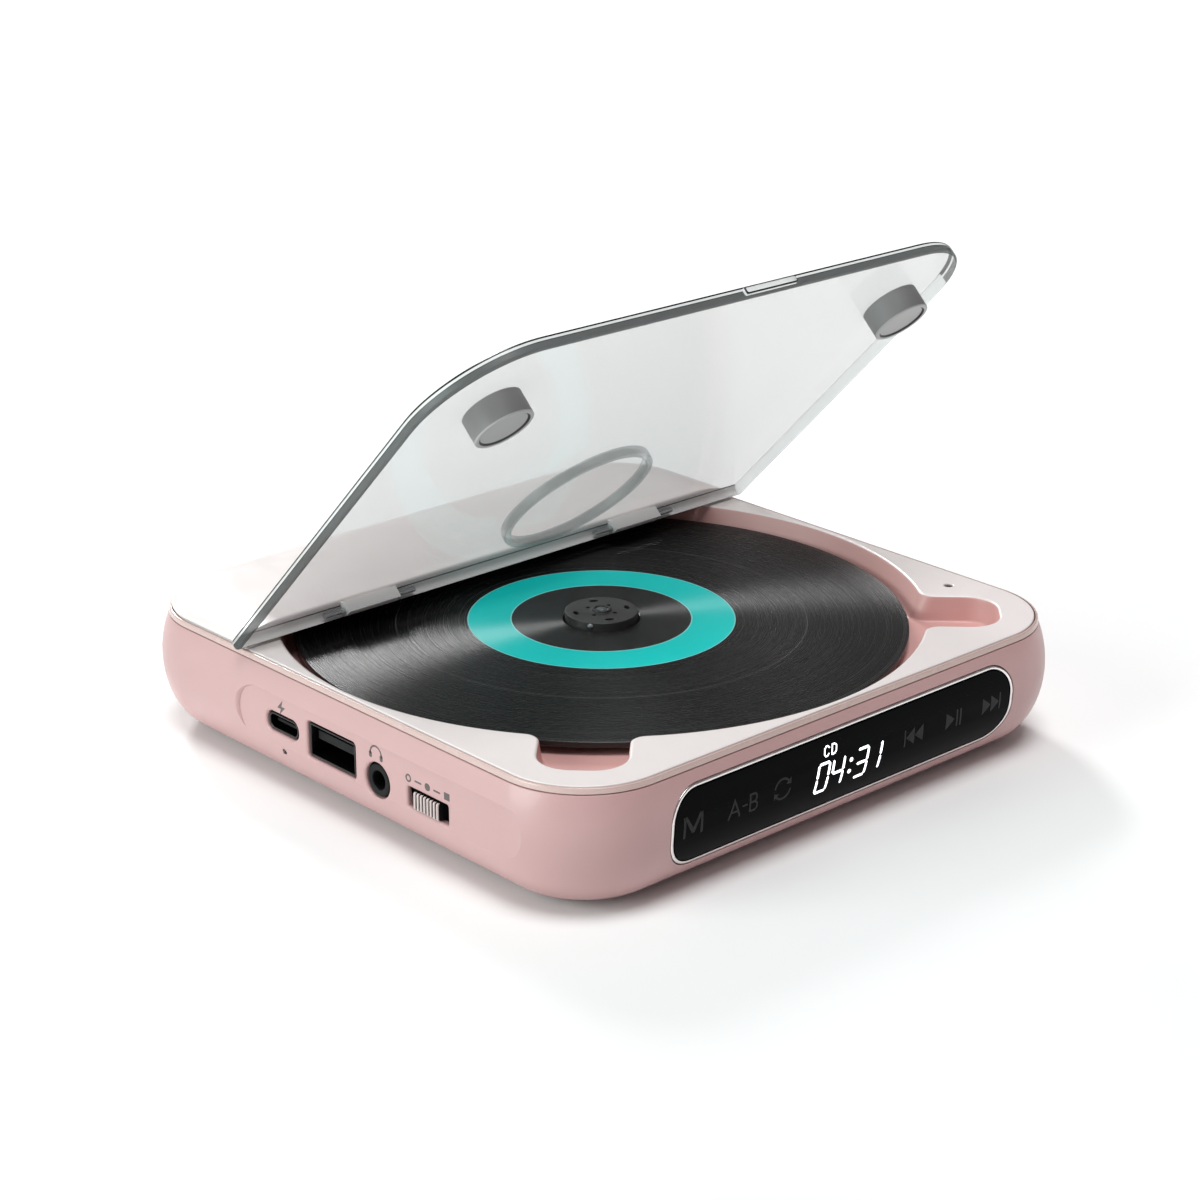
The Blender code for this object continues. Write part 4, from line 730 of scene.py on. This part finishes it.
def build_deck():
    bm = bmesh.new()
    skin_z = DECK_Z - 1.6 * MM
    bevel = 0.25 * MM

    def ring(inset, z):
        return [bm.verts.new(point) for point in body_ring(inset, z)]

    def opening(offset, z, thickness=0.0):
        down = (DECK_Z - z) / (DECK_Z - FLOOR_Z)
        grow = offset + thickness
        taper = grow - 0.5 * MM * down
        outline = opening_outline(WELL_RADIUS - 2.0 * MM * down + grow, NOTCH_HALF + taper,
                                  NOTCH_END + taper, 6.2 * MM + taper, 3.0 * MM - grow)
        return [bm.verts.new((p.x, p.y, z)) for p in outline]

    def circle(centre, radius, z):
        return [bm.verts.new((x, y, z)) for x, y in oval(centre, radius, radius, 20)]

    def hub_slot(growth, z):
        radius = 10.0 * MM + growth
        half = 3.8 * MM + growth
        angle = degrees(asin(half / radius))
        points = arc((0.0, 0.0), radius, angle, 360 - angle, 60)
        points += [Vector((60.6 * MM, -half)), Vector((60.6 * MM, half))]
        return [bm.verts.new((p.x, p.y, z)) for p in points]

    outer = [ring(DECK_INSET, skin_z)]
    outer += [ring(DECK_INSET + bevel * run, DECK_Z - bevel * (1 - rise))
              for rise, run in quarter(4)]
    skin(bm, outer)
    lip = 0.50 * MM
    wall = [opening(lip * (1 - rise), DECK_Z - lip * run) for rise, run in quarter(6)]
    wall += [opening(0.0, DECK_Z - lip + (FLOOR_Z - DECK_Z + lip + 0.5 * MM) * share)
             for share in (0.2, 0.4, 0.6, 0.8)]
    wall += [opening(-0.5 * MM * run, FLOOR_Z + 0.5 * MM * (1 - rise))
             for rise, run in quarter(4)]
    skin(bm, wall)
    hole = middle("lid_sensor_pin")
    hole_rows = [circle(hole, 1.15 * MM, DECK_Z), circle(hole, 0.97 * MM, DECK_Z - 0.08 * MM),
                 circle(hole, 0.90 * MM, DECK_Z - 0.25 * MM), circle(hole, 0.90 * MM, skin_z)]
    skin(bm, hole_rows)
    hub = [hub_slot(0.3 * MM, FLOOR_Z), hub_slot(0.0, FLOOR_Z - 0.3 * MM),
           hub_slot(0.0, FLOOR_UNDER_Z)]
    skin(bm, hub)
    under = [opening(0.0, FLOOR_UNDER_Z, 1.0 * MM), opening(0.0, skin_z, 0.9 * MM)]
    skin(bm, under)
    fill_between(bm, [outer[-1], wall[0], hole_rows[0]])
    fill_between(bm, [wall[-1], hub[0]])
    fill_between(bm, [hub[-1], under[0]])
    fill_between(bm, [under[1], outer[0], hole_rows[-1]])
    bmesh.ops.recalc_face_normals(bm, faces=bm.faces)
    # Top faces take the lightened rose as painted light; faces inside the well take the well look.
    for face in bm.faces:
        centre = face.calc_center_median()
        inside = DECK_Z - 0.30 * MM > centre.z > FLOOR_Z - 0.01 * MM
        edge_on = max(abs(centre.x), abs(centre.y)) > DECK_HALF - 0.05 * MM
        face.material_index = 1 if inside and not edge_on else 0
    deck = object_from(bm, "deck_plate", ["pale", "well"])
    true_normals(deck)
    hang(deck, "body", ["top_deck"])


def build_strip():
    height = STRIP_TOP_Z - STRIP_LOW_Z
    inset = DECK_INSET - 0.2 * MM
    foot = 0.25 * MM
    rings = [body_ring(inset, STRIP_LOW_Z)]
    rings += [body_ring(inset + 12.0 * MM * run, STRIP_LOW_Z + foot + (height - foot) * rise)
              for rise, run in quarter(16)]
    # The strip's top takes the lightened rose as painted light.
    strip = object_from(loft(rings), "hinge_strip", ["pale"])
    soft = 0.5 * MM
    behind = BODY_HALF + MM
    front = [(STRIP_FRONT_Y, STRIP_LOW_Z - MM)]
    front += [(STRIP_FRONT_Y + soft * run, STRIP_TOP_Z - soft + soft * rise)
              for rise, run in quarter(6)]
    front += [(behind, STRIP_TOP_Z + 0.01 * MM), (behind, STRIP_LOW_Z - MM)]
    keep = tool([at_x(front, x) for x in (-BODY_HALF, BODY_HALF)])
    carve(strip, keep, operation="INTERSECT")
    barrel = LID_THICKNESS / 2
    root_y = STRIP_FRONT_Y + MM
    shape = arc((HINGE.y, HINGE.z), barrel, 90, 270, 20)
    shape = [Vector((root_y, HINGE.z + barrel))] + shape + [Vector((root_y, HINGE.z - barrel))]
    for x in (-KNUCKLE_X, KNUCKLE_X):
        knuckle = tool([at_x(shape, x - KNUCKLE_HALF), at_x(shape, x + KNUCKLE_HALF)])
        carve(strip, knuckle, operation="UNION")
    finish_piece(strip, "body", ["rear_strip"], 32.0)


# ---- the lid

OPENING = (Matrix.Translation(HINGE) @ Matrix.Rotation(-LID_OPEN, 4, "X")
           @ Matrix.Translation(-HINGE))


def lid_ring_row(rise):
    """The lid's closed outline at a height above or below its middle."""
    half = LID_THICKNESS / 2
    over = max(abs(rise) - (half - LID_EDGE), 0.0)
    inset = LID_EDGE - sqrt(max(LID_EDGE * LID_EDGE - over * over, 0.0))
    rear = HINGE.y + sqrt(max(half * half - rise * rise, 0.0))
    side = LID_HALF - inset
    front = LID_FRONT_Y + inset
    corner = 19.5 * MM - inset
    slot_half = KNUCKLE_HALF + 0.3 * MM
    slot_y = HINGE.y - half - 0.3 * MM
    points = [Vector((side, rear))]
    for x in (KNUCKLE_X, -KNUCKLE_X):
        points += [Vector((x + slot_half, rear)), Vector((x + slot_half, slot_y)),
                   Vector((x - slot_half, slot_y)), Vector((x - slot_half, rear))]
    points.append(Vector((-side, rear)))
    points += arc((-side + corner, front + corner), corner, 180, 270, CORNER_STEPS)
    points += arc((side - corner, front + corner), corner, 270, 360, CORNER_STEPS)
    return [Vector((p.x, p.y, HINGE.z + rise)) for p in points]


# The lid's fill, then its edge looks: painted light bands and painted shade lines and band.
LID_LOOKS = ["lid", "lid_edge_painted_light", "lid_painted_dark_line", "lid_painted_shade_band", "lid_roll_painted_light"]


def lid_look(centre):
    """Which of the lid's looks a face of its edge has: painted light bands, and painted shade as
    dark lines and a dark lower band, on the clear edge.
    """
    half = LID_THICKNESS / 2
    rise = centre.z - HINGE.z
    if centre.x > LID_HALF - 0.6 * MM and HINGE.y > centre.y > LID_FRONT_Y + 16.0 * MM:
        return "lid_edge_painted_light"
    if centre.y > HINGE.y:
        return "lid_painted_dark_line" if abs(rise) > half - 0.07 * MM else "lid_roll_painted_light"
    if centre.y > HINGE.y - half - 0.4 * MM and abs(centre.x) < LID_HALF - 5 * MM:
        return "lid_roll_painted_light"
    if rise > half - LID_EDGE + 0.02 * MM:
        return "lid_painted_dark_line"
    if rise < 0.22 * MM:
        return "lid_painted_shade_band"
    return "lid_painted_dark_line" if rise < 0.36 * MM else "lid_edge_painted_light"


def build_lid():
    half = LID_THICKNESS / 2
    flat = half - LID_EDGE
    rises = [flat + LID_EDGE * rise for rise, _ in quarter(5)]
    rises += [flat * share for share in (0.23, 0.42, 0.8)]
    rows = [lid_ring_row(rise) for rise in sorted(rises + [-r for r in rises])]
    bm = loft(rows, caps=False)
    for face in bm.faces:
        face.material_index = LID_LOOKS.index(lid_look(face.calc_center_median()))
    bm.verts.ensure_lookup_table()
    count = len(rows[0])
    for start in (0, len(rows) * count - count):
        bm.faces.new(bm.verts[start:start + count])
    bmesh.ops.recalc_face_normals(bm, faces=bm.faces)
    lid = object_from(bm, "lid_sheet", LID_LOOKS)
    tab = [[Vector((p.x, LID_FRONT_Y - 0.8 * MM + depth, p.y)) for p in
            rounded_rect(6.5 * MM - inset, 0.75 * MM - inset, 0.3 * MM, 4, (6.0 * MM, HINGE.z))]
           for depth, inset in scaled([(0.0, 0.25), (0.08, 0.08), (0.25, 0.0), (2.0, 0.0)])]
    # The tab's rim gets the painted dark lines and its face the painted light band.
    tab_piece = object_from(loft(tab, looks=[2, 2, 1]), "tool", LID_LOOKS[:3])
    tab_piece.data.polygons[-2].material_index = 1
    carve(lid, tab_piece, operation="UNION")
    lid.data.transform(OPENING)
    finish_piece(lid, "lid", ["lid_panel"], 40.0)


def build_lid_fittings():
    under = HINGE.z - LID_THICKNESS / 2
    radius = 5.75 * MM
    spot = (NOTCH_END - 0.55 * MM - radius) / sqrt(2)
    end_z = under - 5.0 * MM
    outline = rounded_profile([(0.0, under), (radius, under), (radius, end_z),
                               (radius - 0.8 * MM, end_z), (radius - 1.1 * MM, end_z + 0.4 * MM),
                               (0.0, end_z + 0.4 * MM)], 0.3 * MM)
    for side, name in ((-1, "pad_left"), (1, "pad_right")):
        pad = turned_piece(outline, "lid_cushion_" + name, ["pad", "pad_line", "pad_face"],
                           centre=(side * spot, -spot))
        for polygon in pad.data.polygons:
            height = polygon.center.z - under
            reach = (polygon.center.xy - Vector((side * spot, -spot))).length
            near_end = height < -4.61 * MM
            face_on = height < -4.0 * MM and reach < 4.7 * MM
            if near_end and 4.62 * MM < reach < 4.98 * MM:
                polygon.material_index = 1
            else:
                polygon.material_index = 2 if near_end or face_on else 0
        pad.data.transform(OPENING)
        finish_piece(pad, "lid", ["lid_" + name], 30.0)
    outer = 16.5 * MM
    inner = 15.0 * MM
    low_z = under - 2.0 * MM
    outline = rounded_profile([(inner, under), (outer, under), (outer, low_z), (inner, low_z)],
                              0.35 * MM)
    ring = turned_piece(outline, "lid_ring", ["lid", "ring_side_painted_shade"], steps=128)
    # Side faces of the clear ring get the darker look, painted shade.
    for polygon in ring.data.polygons:
        polygon.material_index = 0 if abs(polygon.normal.z) > 0.9 else 1
    ring.data.transform(OPENING)
    finish_piece(ring, "lid", ["lid_center_ring"], 40.0)


# ---- disc and its hub

def build_disc():
    outline = rounded_profile([(7.5 * MM, DISC_LOW_Z), (DISC_RADIUS, DISC_LOW_Z),
                               (DISC_RADIUS, DISC_TOP_Z), (7.5 * MM, DISC_TOP_Z)], 0.25 * MM)
    disc = turned_piece(outline, "disc_face", ["disc"], steps=240)
    finish_piece(disc, "turntable", ["disc"], 60.0)


def build_hub():
    plate_z = DISC_TOP_Z + 1.55 * MM
    platter_z = DISC_LOW_Z - 0.3 * MM
    shaft_z = low("turntable").z
    outline = [(radius, plate_z + height) for radius, height in scaled([
        (0.0, 0.35), (0.9, 0.35), (0.9, 0.15), (1.35, 0.15), (1.35, 0.45), (1.9, 0.45),
        (1.9, 0.0), (7.2, 0.0)])]
    outline += [(radius, platter_z + height) for radius, height in scaled([
        (7.2, 0.0), (14.0, 0.0), (14.0, -0.9), (1.0, -0.9)])]
    outline += [(1.0 * MM, shaft_z), (0.0, shaft_z)]
    hub = turned_piece(rounded_profile(outline, 0.22 * MM, 3), "drive_hub", ["hub", "plated"],
                       steps=120)

    def punch(points):
        return tool([[Vector((x, y, z)) for x, y in points]
                     for z in (plate_z - 0.9 * MM, plate_z + MM)])

    tools = []
    for heading in (radians(angle) for angle in (20, 110, 200, 290)):
        spot = (3.0 * MM * cos(heading), 3.0 * MM * sin(heading))
        tools.append(punch(oval(spot, 0.45 * MM, 0.45 * MM, 14)))
    for heading in (radians(angle) for angle in (65, 155, 245, 335)):
        c = cos(heading)
        s = sin(heading)
        tools.append(punch([(c * 5.2 * MM + u * c - v * s, s * 5.2 * MM + u * s + v * c)
                            for u, v in oval((0.0, 0.0), 0.55 * MM, 0.95 * MM, 18)]))
    carve(hub, *tools)
    for polygon in hub.data.polygons:
        reach = polygon.center.xy.length
        polygon.material_index = 1 if reach < 1.3 * MM and polygon.center.z > plate_z else 0
    finish_piece(hub, "turntable", ["turntable"], 32.0)


# ---- the touch panel

def curved_rows(profile):
    """Rows of points round the panel, one per (growth, depth) in millimetres."""
    return [[on_front(p.x, p.y, depth) for p in panel_outline(growth)]
            for growth, depth in scaled(profile)]


def build_panel():
    rows = curved_rows([(0.0, 1.2), (0.0, 0.22), (-0.04, 0.12), (-0.14, 0.06)])
    bm = bmesh.new()
    verts = [[bm.verts.new(point) for point in row] for row in rows]
    skin(bm, verts)
    for row in (verts[0], verts[-1]):
        count = len(row)
        for index in range(count // 2 - 1):
            bm.faces.new((row[index], row[index + 1], row[count - 2 - index],
                          row[count - 1 - index]))
    bmesh.ops.recalc_face_normals(bm, faces=bm.faces)
    glass = object_from(bm, "panel_face", ["glass"])
    finish_piece(glass, "body", ["touch_panel"], 30.0)
    rim_rows = curved_rows([(0.8, 1.2), (0.8, 0.14), (0.76, 0.05), (0.66, 0.0), (0.34, 0.0),
                            (0.24, 0.05), (0.2, 0.14), (0.2, 1.2)])
    rim = object_from(loft(rim_rows, closed=True), "panel_frame", ["rim"])
    finish_piece(rim, "body", ["panel_rim"], 40.0)


SEGMENTS = {"0": "abcdef", "1": "bc", "3": "abcdg", "4": "bcfg"}


def digit(text, left_x, low_z, width=3.3, height=6.0, thick=0.5, slant=0.14):
    """Outlines of one slanted seven-segment digit, in millimetres."""
    mid = height / 2
    gap = 0.07
    spots = {
        "a": ((0, height), (width, height)), "d": ((0, 0), (width, 0)),
        "g": ((0, mid), (width, mid)), "f": ((0, mid), (0, height)),
        "e": ((0, 0), (0, mid)), "b": ((width, mid), (width, height)),
        "c": ((width, 0), (width, mid)),
    }
    outlines = []
    inner = thick / 2
    for name in SEGMENTS[text]:
        start, end = (Vector((min(max(u, inner), width - inner),
                              min(max(v, inner), height - inner))) for u, v in spots[name])
        along = (end - start).normalized()
        across = Vector((-along.y, along.x)) * inner
        start += along * gap
        end -= along * gap
        outlines.append([start, start + along * inner - across, end - along * inner - across,
                         end, end - along * inner + across, start + along * inner + across])
    return [[((left_x + p.x + p.y * slant) * MM, (low_z + p.y) * MM) for p in outline]
            for outline in outlines]


def in_mm(outlines):
    return [scaled(outline) for outline in outlines]


def build_panel_marks():
    lit = digit("0", -9.5, 9.8) + digit("4", -5.6, 9.8) + digit("3", 0.75, 9.8)
    lit += digit("1", 4.4, 9.8)
    lit += in_mm([oval((-0.35, 11.9), 0.42, 0.42), oval((-0.05, 14.2), 0.42, 0.42)])
    line = 0.26
    letters = [ribbon([(-5.75, 18.25), (-6.1, 18.6), (-6.55, 18.6), (-6.95, 18.2),
                       (-7.1, 17.2), (-6.8, 16.8), (-6.35, 16.8), (-6.0, 17.15)], line),
               ribbon([(-5.2, 16.8), (-4.95, 18.6), (-4.35, 18.6), (-3.9, 18.2),
                       (-4.05, 17.2), (-4.5, 16.8), (-5.07, 16.8)], line)]
    lit += in_mm(letters)
    dim = [ribbon([(-41.8, 11.9), (-41.8, 16.0)], 0.55, False),
           ribbon([(-37.7, 11.9), (-37.7, 16.0)], 0.55, False),
           [(-41.95, 16.0), (-41.3, 16.0), (-39.75, 13.5), (-38.2, 16.0), (-37.55, 16.0),
            (-39.45, 12.5), (-40.05, 12.5)],
           ribbon([(-31.1, 12.1), (-29.75, 15.3), (-28.4, 12.1)], 0.42),
           ribbon([(-30.45, 13.2), (-29.05, 13.2)], 0.36),
           ribbon([(-27.7, 13.7), (-26.7, 13.7)], 0.36),
           ribbon([(-25.9, 12.1), (-25.9, 15.3), (-24.7, 15.3), (-24.35, 14.95),
                   (-24.35, 14.2), (-24.7, 13.8), (-25.6, 13.8)], 0.42),
           ribbon([(-24.75, 13.75), (-24.2, 13.35), (-24.2, 12.5), (-24.6, 12.1),
                   (-25.6, 12.1)], 0.42)]
    for start in (165, 345):
        swing = arc((-17.8, 13.9), 1.95, start, start - 125, 12)
        dim.append(ribbon(swing, 0.42))
        tip = swing[-1]
        heading = radians(start - 125 - 90)
        along = Vector((cos(heading), sin(heading)))
        across = Vector((-along.y, along.x))
        dim.append([tip + along * 1.0, tip + across * 0.8, tip - across * 0.8])
    for right, flip in ((19.4, 1), (36.2, -1)):
        for shift in (0.0, -2.4):
            x = right + shift * flip
            dim.append([(x, 15.6), (x - 2.3 * flip, 13.9), (x, 12.2)])
        bar = right - 5.0 * flip
        dim.append(ribbon([(bar, 12.2), (bar, 15.6)], 0.4, False))
    dim += [[(25.8, 12.2), (28.2, 13.9), (25.8, 15.6)],
            ribbon([(28.9, 12.2), (28.9, 15.6)], 0.45, False),
            ribbon([(29.9, 12.2), (29.9, 15.6)], 0.45, False)]
    for name, outlines, look in (("panel_digits", lit, "lit"),
                                 ("panel_icons", in_mm(dim), "mark")):
        marks = slab(outlines, name, [look], on_front, 0.025 * MM, 0.10 * MM)
        finish_piece(marks, "body", [], 30.0, even=False)


# ---- connector side

def side_rows(half_y, half_z, corner, profile, centre, steps=8):
    """Rows of a rounded outline on the left side, one per (growth, x)."""
    return [at_x(rounded_rect(half_y + growth, half_z + growth, corner + growth, steps, centre), x)
            for growth, x in profile]


def build_socket(node, half_y, half_z, corner, tongue, name):
    """A plated shell with a dark moulded tongue and its contacts."""
    front = low(node).x
    back = high(node).x
    centre = (middle(node).y, middle("usb_a_socket").z)
    lip = [(growth, front + x) for growth, x in scaled([
        (0.0, 0.15), (-0.06, 0.03), (-0.15, 0.0), (-0.28, 0.0), (-0.36, 0.06), (-0.4, 0.2)])]
    profile = [(0.0, back), *lip, (-0.4 * MM, back - 1.5 * MM)]
    shell = object_from(loft(side_rows(half_y, half_z, corner, profile, centre)), name, ["port"])
    finish_piece(shell, "body", [node], 40.0)
    tongue_y, tongue_z, rise = tongue
    at = (centre[0], centre[1] + rise)
    start = front + 1.0 * MM
    block = object_from(loft(side_rows(tongue_y, tongue_z, min(tongue_z, 0.3 * MM) * 0.9,
                                       [(-0.1 * MM, start), (0.0, start + 0.12 * MM),
                                        (0.0, back - 1.2 * MM)], at, 4)),
                        name + "_tongue", ["black"])
    finish_piece(block, "body", [], 40.0)
    count = 4 if tongue_y > 4 * MM else 6
    pitch = 2 * tongue_y / (count + 0.6)
    half = tongue_y / (count * 2.6)
    under = at[1] - tongue_z - 0.06 * MM
    over = at[1] - tongue_z + 0.04 * MM
    bm = bmesh.new()
    for index in range(count):
        y = at[0] + (index - (count - 1) / 2) * pitch
        prism(bm, [(y - half, under), (y + half, under), (y + half, over), (y - half, over)],
              start + 0.5 * MM, back - 2.5 * MM)
    bmesh.ops.recalc_face_normals(bm, faces=bm.faces)
    contacts = object_from(bm, name + "_contacts", ["gold"])
    finish_piece(contacts, "body", [], 40.0)


def build_jack():
    front = low("headphone_jack").x
    z = middle("switch_knob").z
    y = middle("headphone_jack").y
    outline = scaled([(3.1, 0.0), (1.8, 0.0), (1.8, 11.0), (0.0, 11.0), (0.0, 12.5), (3.1, 12.5)])
    rounded = rounded_profile(outline, 0.25 * MM, 4)
    jack = turned_piece(rounded, "jack_barrel", ["black", "steel"], steps=64,
                        centre=(front, y, z), axis="X")
    for polygon in jack.data.polygons:
        deep = polygon.center.x - front
        reach = hypot(polygon.center.y - y, polygon.center.z - z)
        polygon.material_index = 1 if 1.4 * MM < deep < 3.0 * MM and reach < 1.9 * MM else 0
    finish_piece(jack, "body", ["headphone_jack"], 40.0)


def build_switch():
    centre = middle("switch_knob")
    cap_half_y = 3.6 * MM
    cap_half_z = 1.7 * MM
    front = low("switch_knob").x
    ribs = 8
    pitch = 2 * cap_half_y / ribs
    wave = []
    for index in range(ribs):
        start = centre.y - cap_half_y + index * pitch
        for share, depth in ((0.0, 0.95), (0.17, 0.95), (0.20, 0.25), (0.30, 0.06), (0.5, 0.0),
                             (0.70, 0.06), (0.80, 0.25), (0.83, 0.95)):
            wave.append((start + pitch * share, depth * MM))
    wave.append((centre.y + cap_half_y, 0.95 * MM))
    back = PORT_X + 2.0 * MM
    rows = []
    for rise, sink in ((-1.0, 0.35), (-0.94, 0.12), (-0.84, 0.0),
                       (0.84, 0.0), (0.94, 0.12), (1.0, 0.35)):
        z = centre.z + rise * cap_half_z
        row = [Vector((front + depth + sink * MM, y, z)) for y, depth in wave]
        row += [Vector((back, centre.y + cap_half_y, z)), Vector((back, centre.y - cap_half_y, z))]
        rows.append(row)
    cap = object_from(loft(rows), "switch_cap", ["knob", "black"])
    flange_x = high("switch_knob").x - 2.2 * MM
    rows = side_rows(7.4 * MM, 2.15 * MM, 0.3 * MM,
                     [(0.0, flange_x), (0.0, flange_x + 0.5 * MM)], (centre.y, centre.z), 4)
    carve(cap, tool(rows), operation="UNION")
    # Faces set back from the rib tops are black: painted shade in the grooves between the ribs.
    for polygon in cap.data.polygons:
        polygon.material_index = 1 if polygon.center.x > front + 0.42 * MM else 0
    finish_piece(cap, "switch_knob", ["switch_knob"], 40.0)


def on_left(y, z, depth):
    """A point on the connector flat or the curve around it, sunk by depth."""
    return Vector((max(PORT_X, -(BODY_HALF - outer_inset(z))) + depth, y, z))


def build_light():
    centre = middle("charge_light")
    outline = scaled([(0.0, -0.05), (0.25, 0.0), (0.42, 0.12), (0.5, 0.3), (0.5, 2.0), (0.0, 2.0)])
    light = turned_piece(outline, "charge_lens", ["led"], steps=32,
                         centre=(low("charge_light").x + 0.06 * MM, centre.y, centre.z), axis="X")
    finish_piece(light, "body", ["charge_light"], 40.0)


def build_side_marks():
    bolt = [[(14.9, 19.0), (16.6, 17.15), (15.5, 17.15), (16.0, 15.9), (14.2, 17.65),
             (15.3, 17.65)]]
    phones = [ribbon(arc((-12.9, 17.35), 1.6, -5, 185, 18), 0.34),
              rounded_pairs((-14.45, 17.0), 0.42, 0.62), rounded_pairs((-11.35, 17.0), 0.42, 0.62)]
    scale = [ribbon(arc((-22.1, 15.9), 0.62, 0, 350, 16), 0.34),
             ribbon([(-24.0, 15.9), (-25.6, 15.9)], 0.34),
             rounded_pairs((-27.4, 15.9), 0.72, 0.72),
             ribbon([(-29.2, 15.9), (-30.8, 15.9)], 0.34),
             [(-32.0, 15.2), (-33.5, 15.2), (-33.5, 16.6), (-32.0, 16.6)]]
    marks = slab(in_mm(bolt + phones + scale), "side_icons", ["ink"], on_left, -0.02 * MM,
                 0.05 * MM)
    finish_piece(marks, "body", [], 30.0, even=False)


def rounded_pairs(centre, half_u, half_v):
    return [(p.x, p.y) for p in rounded_rect(half_u, half_v, min(half_u, half_v) * 0.9, 4, centre)]


# ---- underside and inside

def build_feet():
    for node in numbered("foot", 4):
        centre = middle(node)
        radius = (high(node).x - low(node).x) / 2
        top = high(node).z
        outline = rounded_profile([(0.0, 0.12 * MM), (radius * 0.55, 0.12 * MM),
                                   (radius * 0.62, 0.0), (radius, 0.0), (radius, top), (0.0, top)],
                                  0.3 * MM)
        foot = turned_piece(outline, "rubber_" + node, ["rubber"], steps=64,
                            centre=(centre.x, centre.y))
        finish_piece(foot, "body", [node], 40.0)


def numbered(name, count):
    return ["%s_%d" % (name, index) for index in range(1, count + 1)]


def dress_nodes():
    finishes = {
        "rose": ["bottom_cover"],
        "steel": [*numbered("case_screw", 4), *numbered("hub_ball", 3), "hinge_pin_left",
                  "hinge_pin_right", "guide_rod_front", "guide_rod_rear", "spindle_motor",
                  "sled_motor", "lead_screw"],
        "board": ["main_board", "touch_board"],
        "chip": ["decoder_chip", "motor_driver_chip", "audio_chip", "display_module"],
        "wrap": ["battery"],
        "black": ["drive_chassis", "pickup_sled", "lid_sensor_body", "lid_sensor_pin"],
        "plated": ["switch_body"],
        "rubber": numbered("chassis_grommet", 4),
        "lens": ["pickup_lens"],
    }
    for look, nodes in finishes.items():
        for node in nodes:
            dress(node, look)


# ---- room, light, camera

def build_room():
    size = 16.0
    thickness = 0.02
    bm = bmesh.new()
    prism(bm, [(-size, -thickness), (size, -thickness), (size, 0.0), (-size, 0.0)], -size, size)
    bmesh.ops.recalc_face_normals(bm, faces=bm.faces)
    object_from(bm, "floor", ["floor"])


def broad_light(name, elevation, azimuth, strength, spread_angle, colour=(1.0, 1.0, 1.0)):
    """A far, wide, soft light. Azimuth 0 shines from the front, -90 from the left."""
    data = bpy.data.lights.new(name, "SUN")
    data.energy = strength
    data.color = colour
    data.angle = radians(spread_angle)
    light = bpy.data.objects.new(name, data)
    up = radians(elevation)
    turn = radians(azimuth)
    source = Vector((sin(turn) * cos(up), -cos(turn) * cos(up), sin(up)))
    light.location = source
    light.rotation_euler = (-source).to_track_quat("-Z", "Y").to_euler()
    bpy.context.scene.collection.objects.link(light)


def build_lights():
    world = bpy.data.worlds.new("studio")
    bpy.context.scene.world = world
    world.use_nodes = True
    feed(world.node_tree, world.node_tree.nodes["Background"],
         {"Color": (1.0, 1.0, 1.0, 1.0), "Strength": 0.17})
    broad_light("sky_soft", 80.0, -25.0, 1.95, 30.0)
    broad_light("left_soft", 18.0, -110.0, 2.3, 40.0, (0.87, 1.0, 0.98))
    broad_light("back_soft", 29.0, 157.6, 1.5, 12.0)


def build_camera():
    data = bpy.data.cameras.new("view_camera")
    data.lens = 84.46
    data.sensor_width = 36.0
    data.shift_x = -0.0012
    data.shift_y = 0.0145
    data.clip_start = 0.01
    camera = bpy.data.objects.new("view_camera", data)
    camera.location = (-0.3460, -0.3786, 0.2240)
    aim = Vector((0.0, 0.0, DISC_TOP_Z)) - Vector(camera.location)
    camera.rotation_euler = aim.to_track_quat("-Z", "Y").to_euler()
    bpy.context.scene.collection.objects.link(camera)
    bpy.context.scene.camera = camera


bpy.context.scene.view_settings.view_transform = "Standard"
build_room()
build_lights()
build_camera()
build_shell()
build_trim()
build_deck()
build_strip()
build_lid()
build_lid_fittings()
build_disc()
build_hub()
build_panel()
build_panel_marks()
build_socket("usb_c_socket", *USB_C_SHELL, (3.3 * MM, 0.35 * MM, 0.0), "charge_port")
build_socket("usb_a_socket", *USB_A_SHELL, (5.5 * MM, 0.9 * MM, 1.0 * MM), "data_port")
build_jack()
build_switch()
build_light()
build_side_marks()
build_feet()
dress_nodes()
bpy.context.view_layer.update()
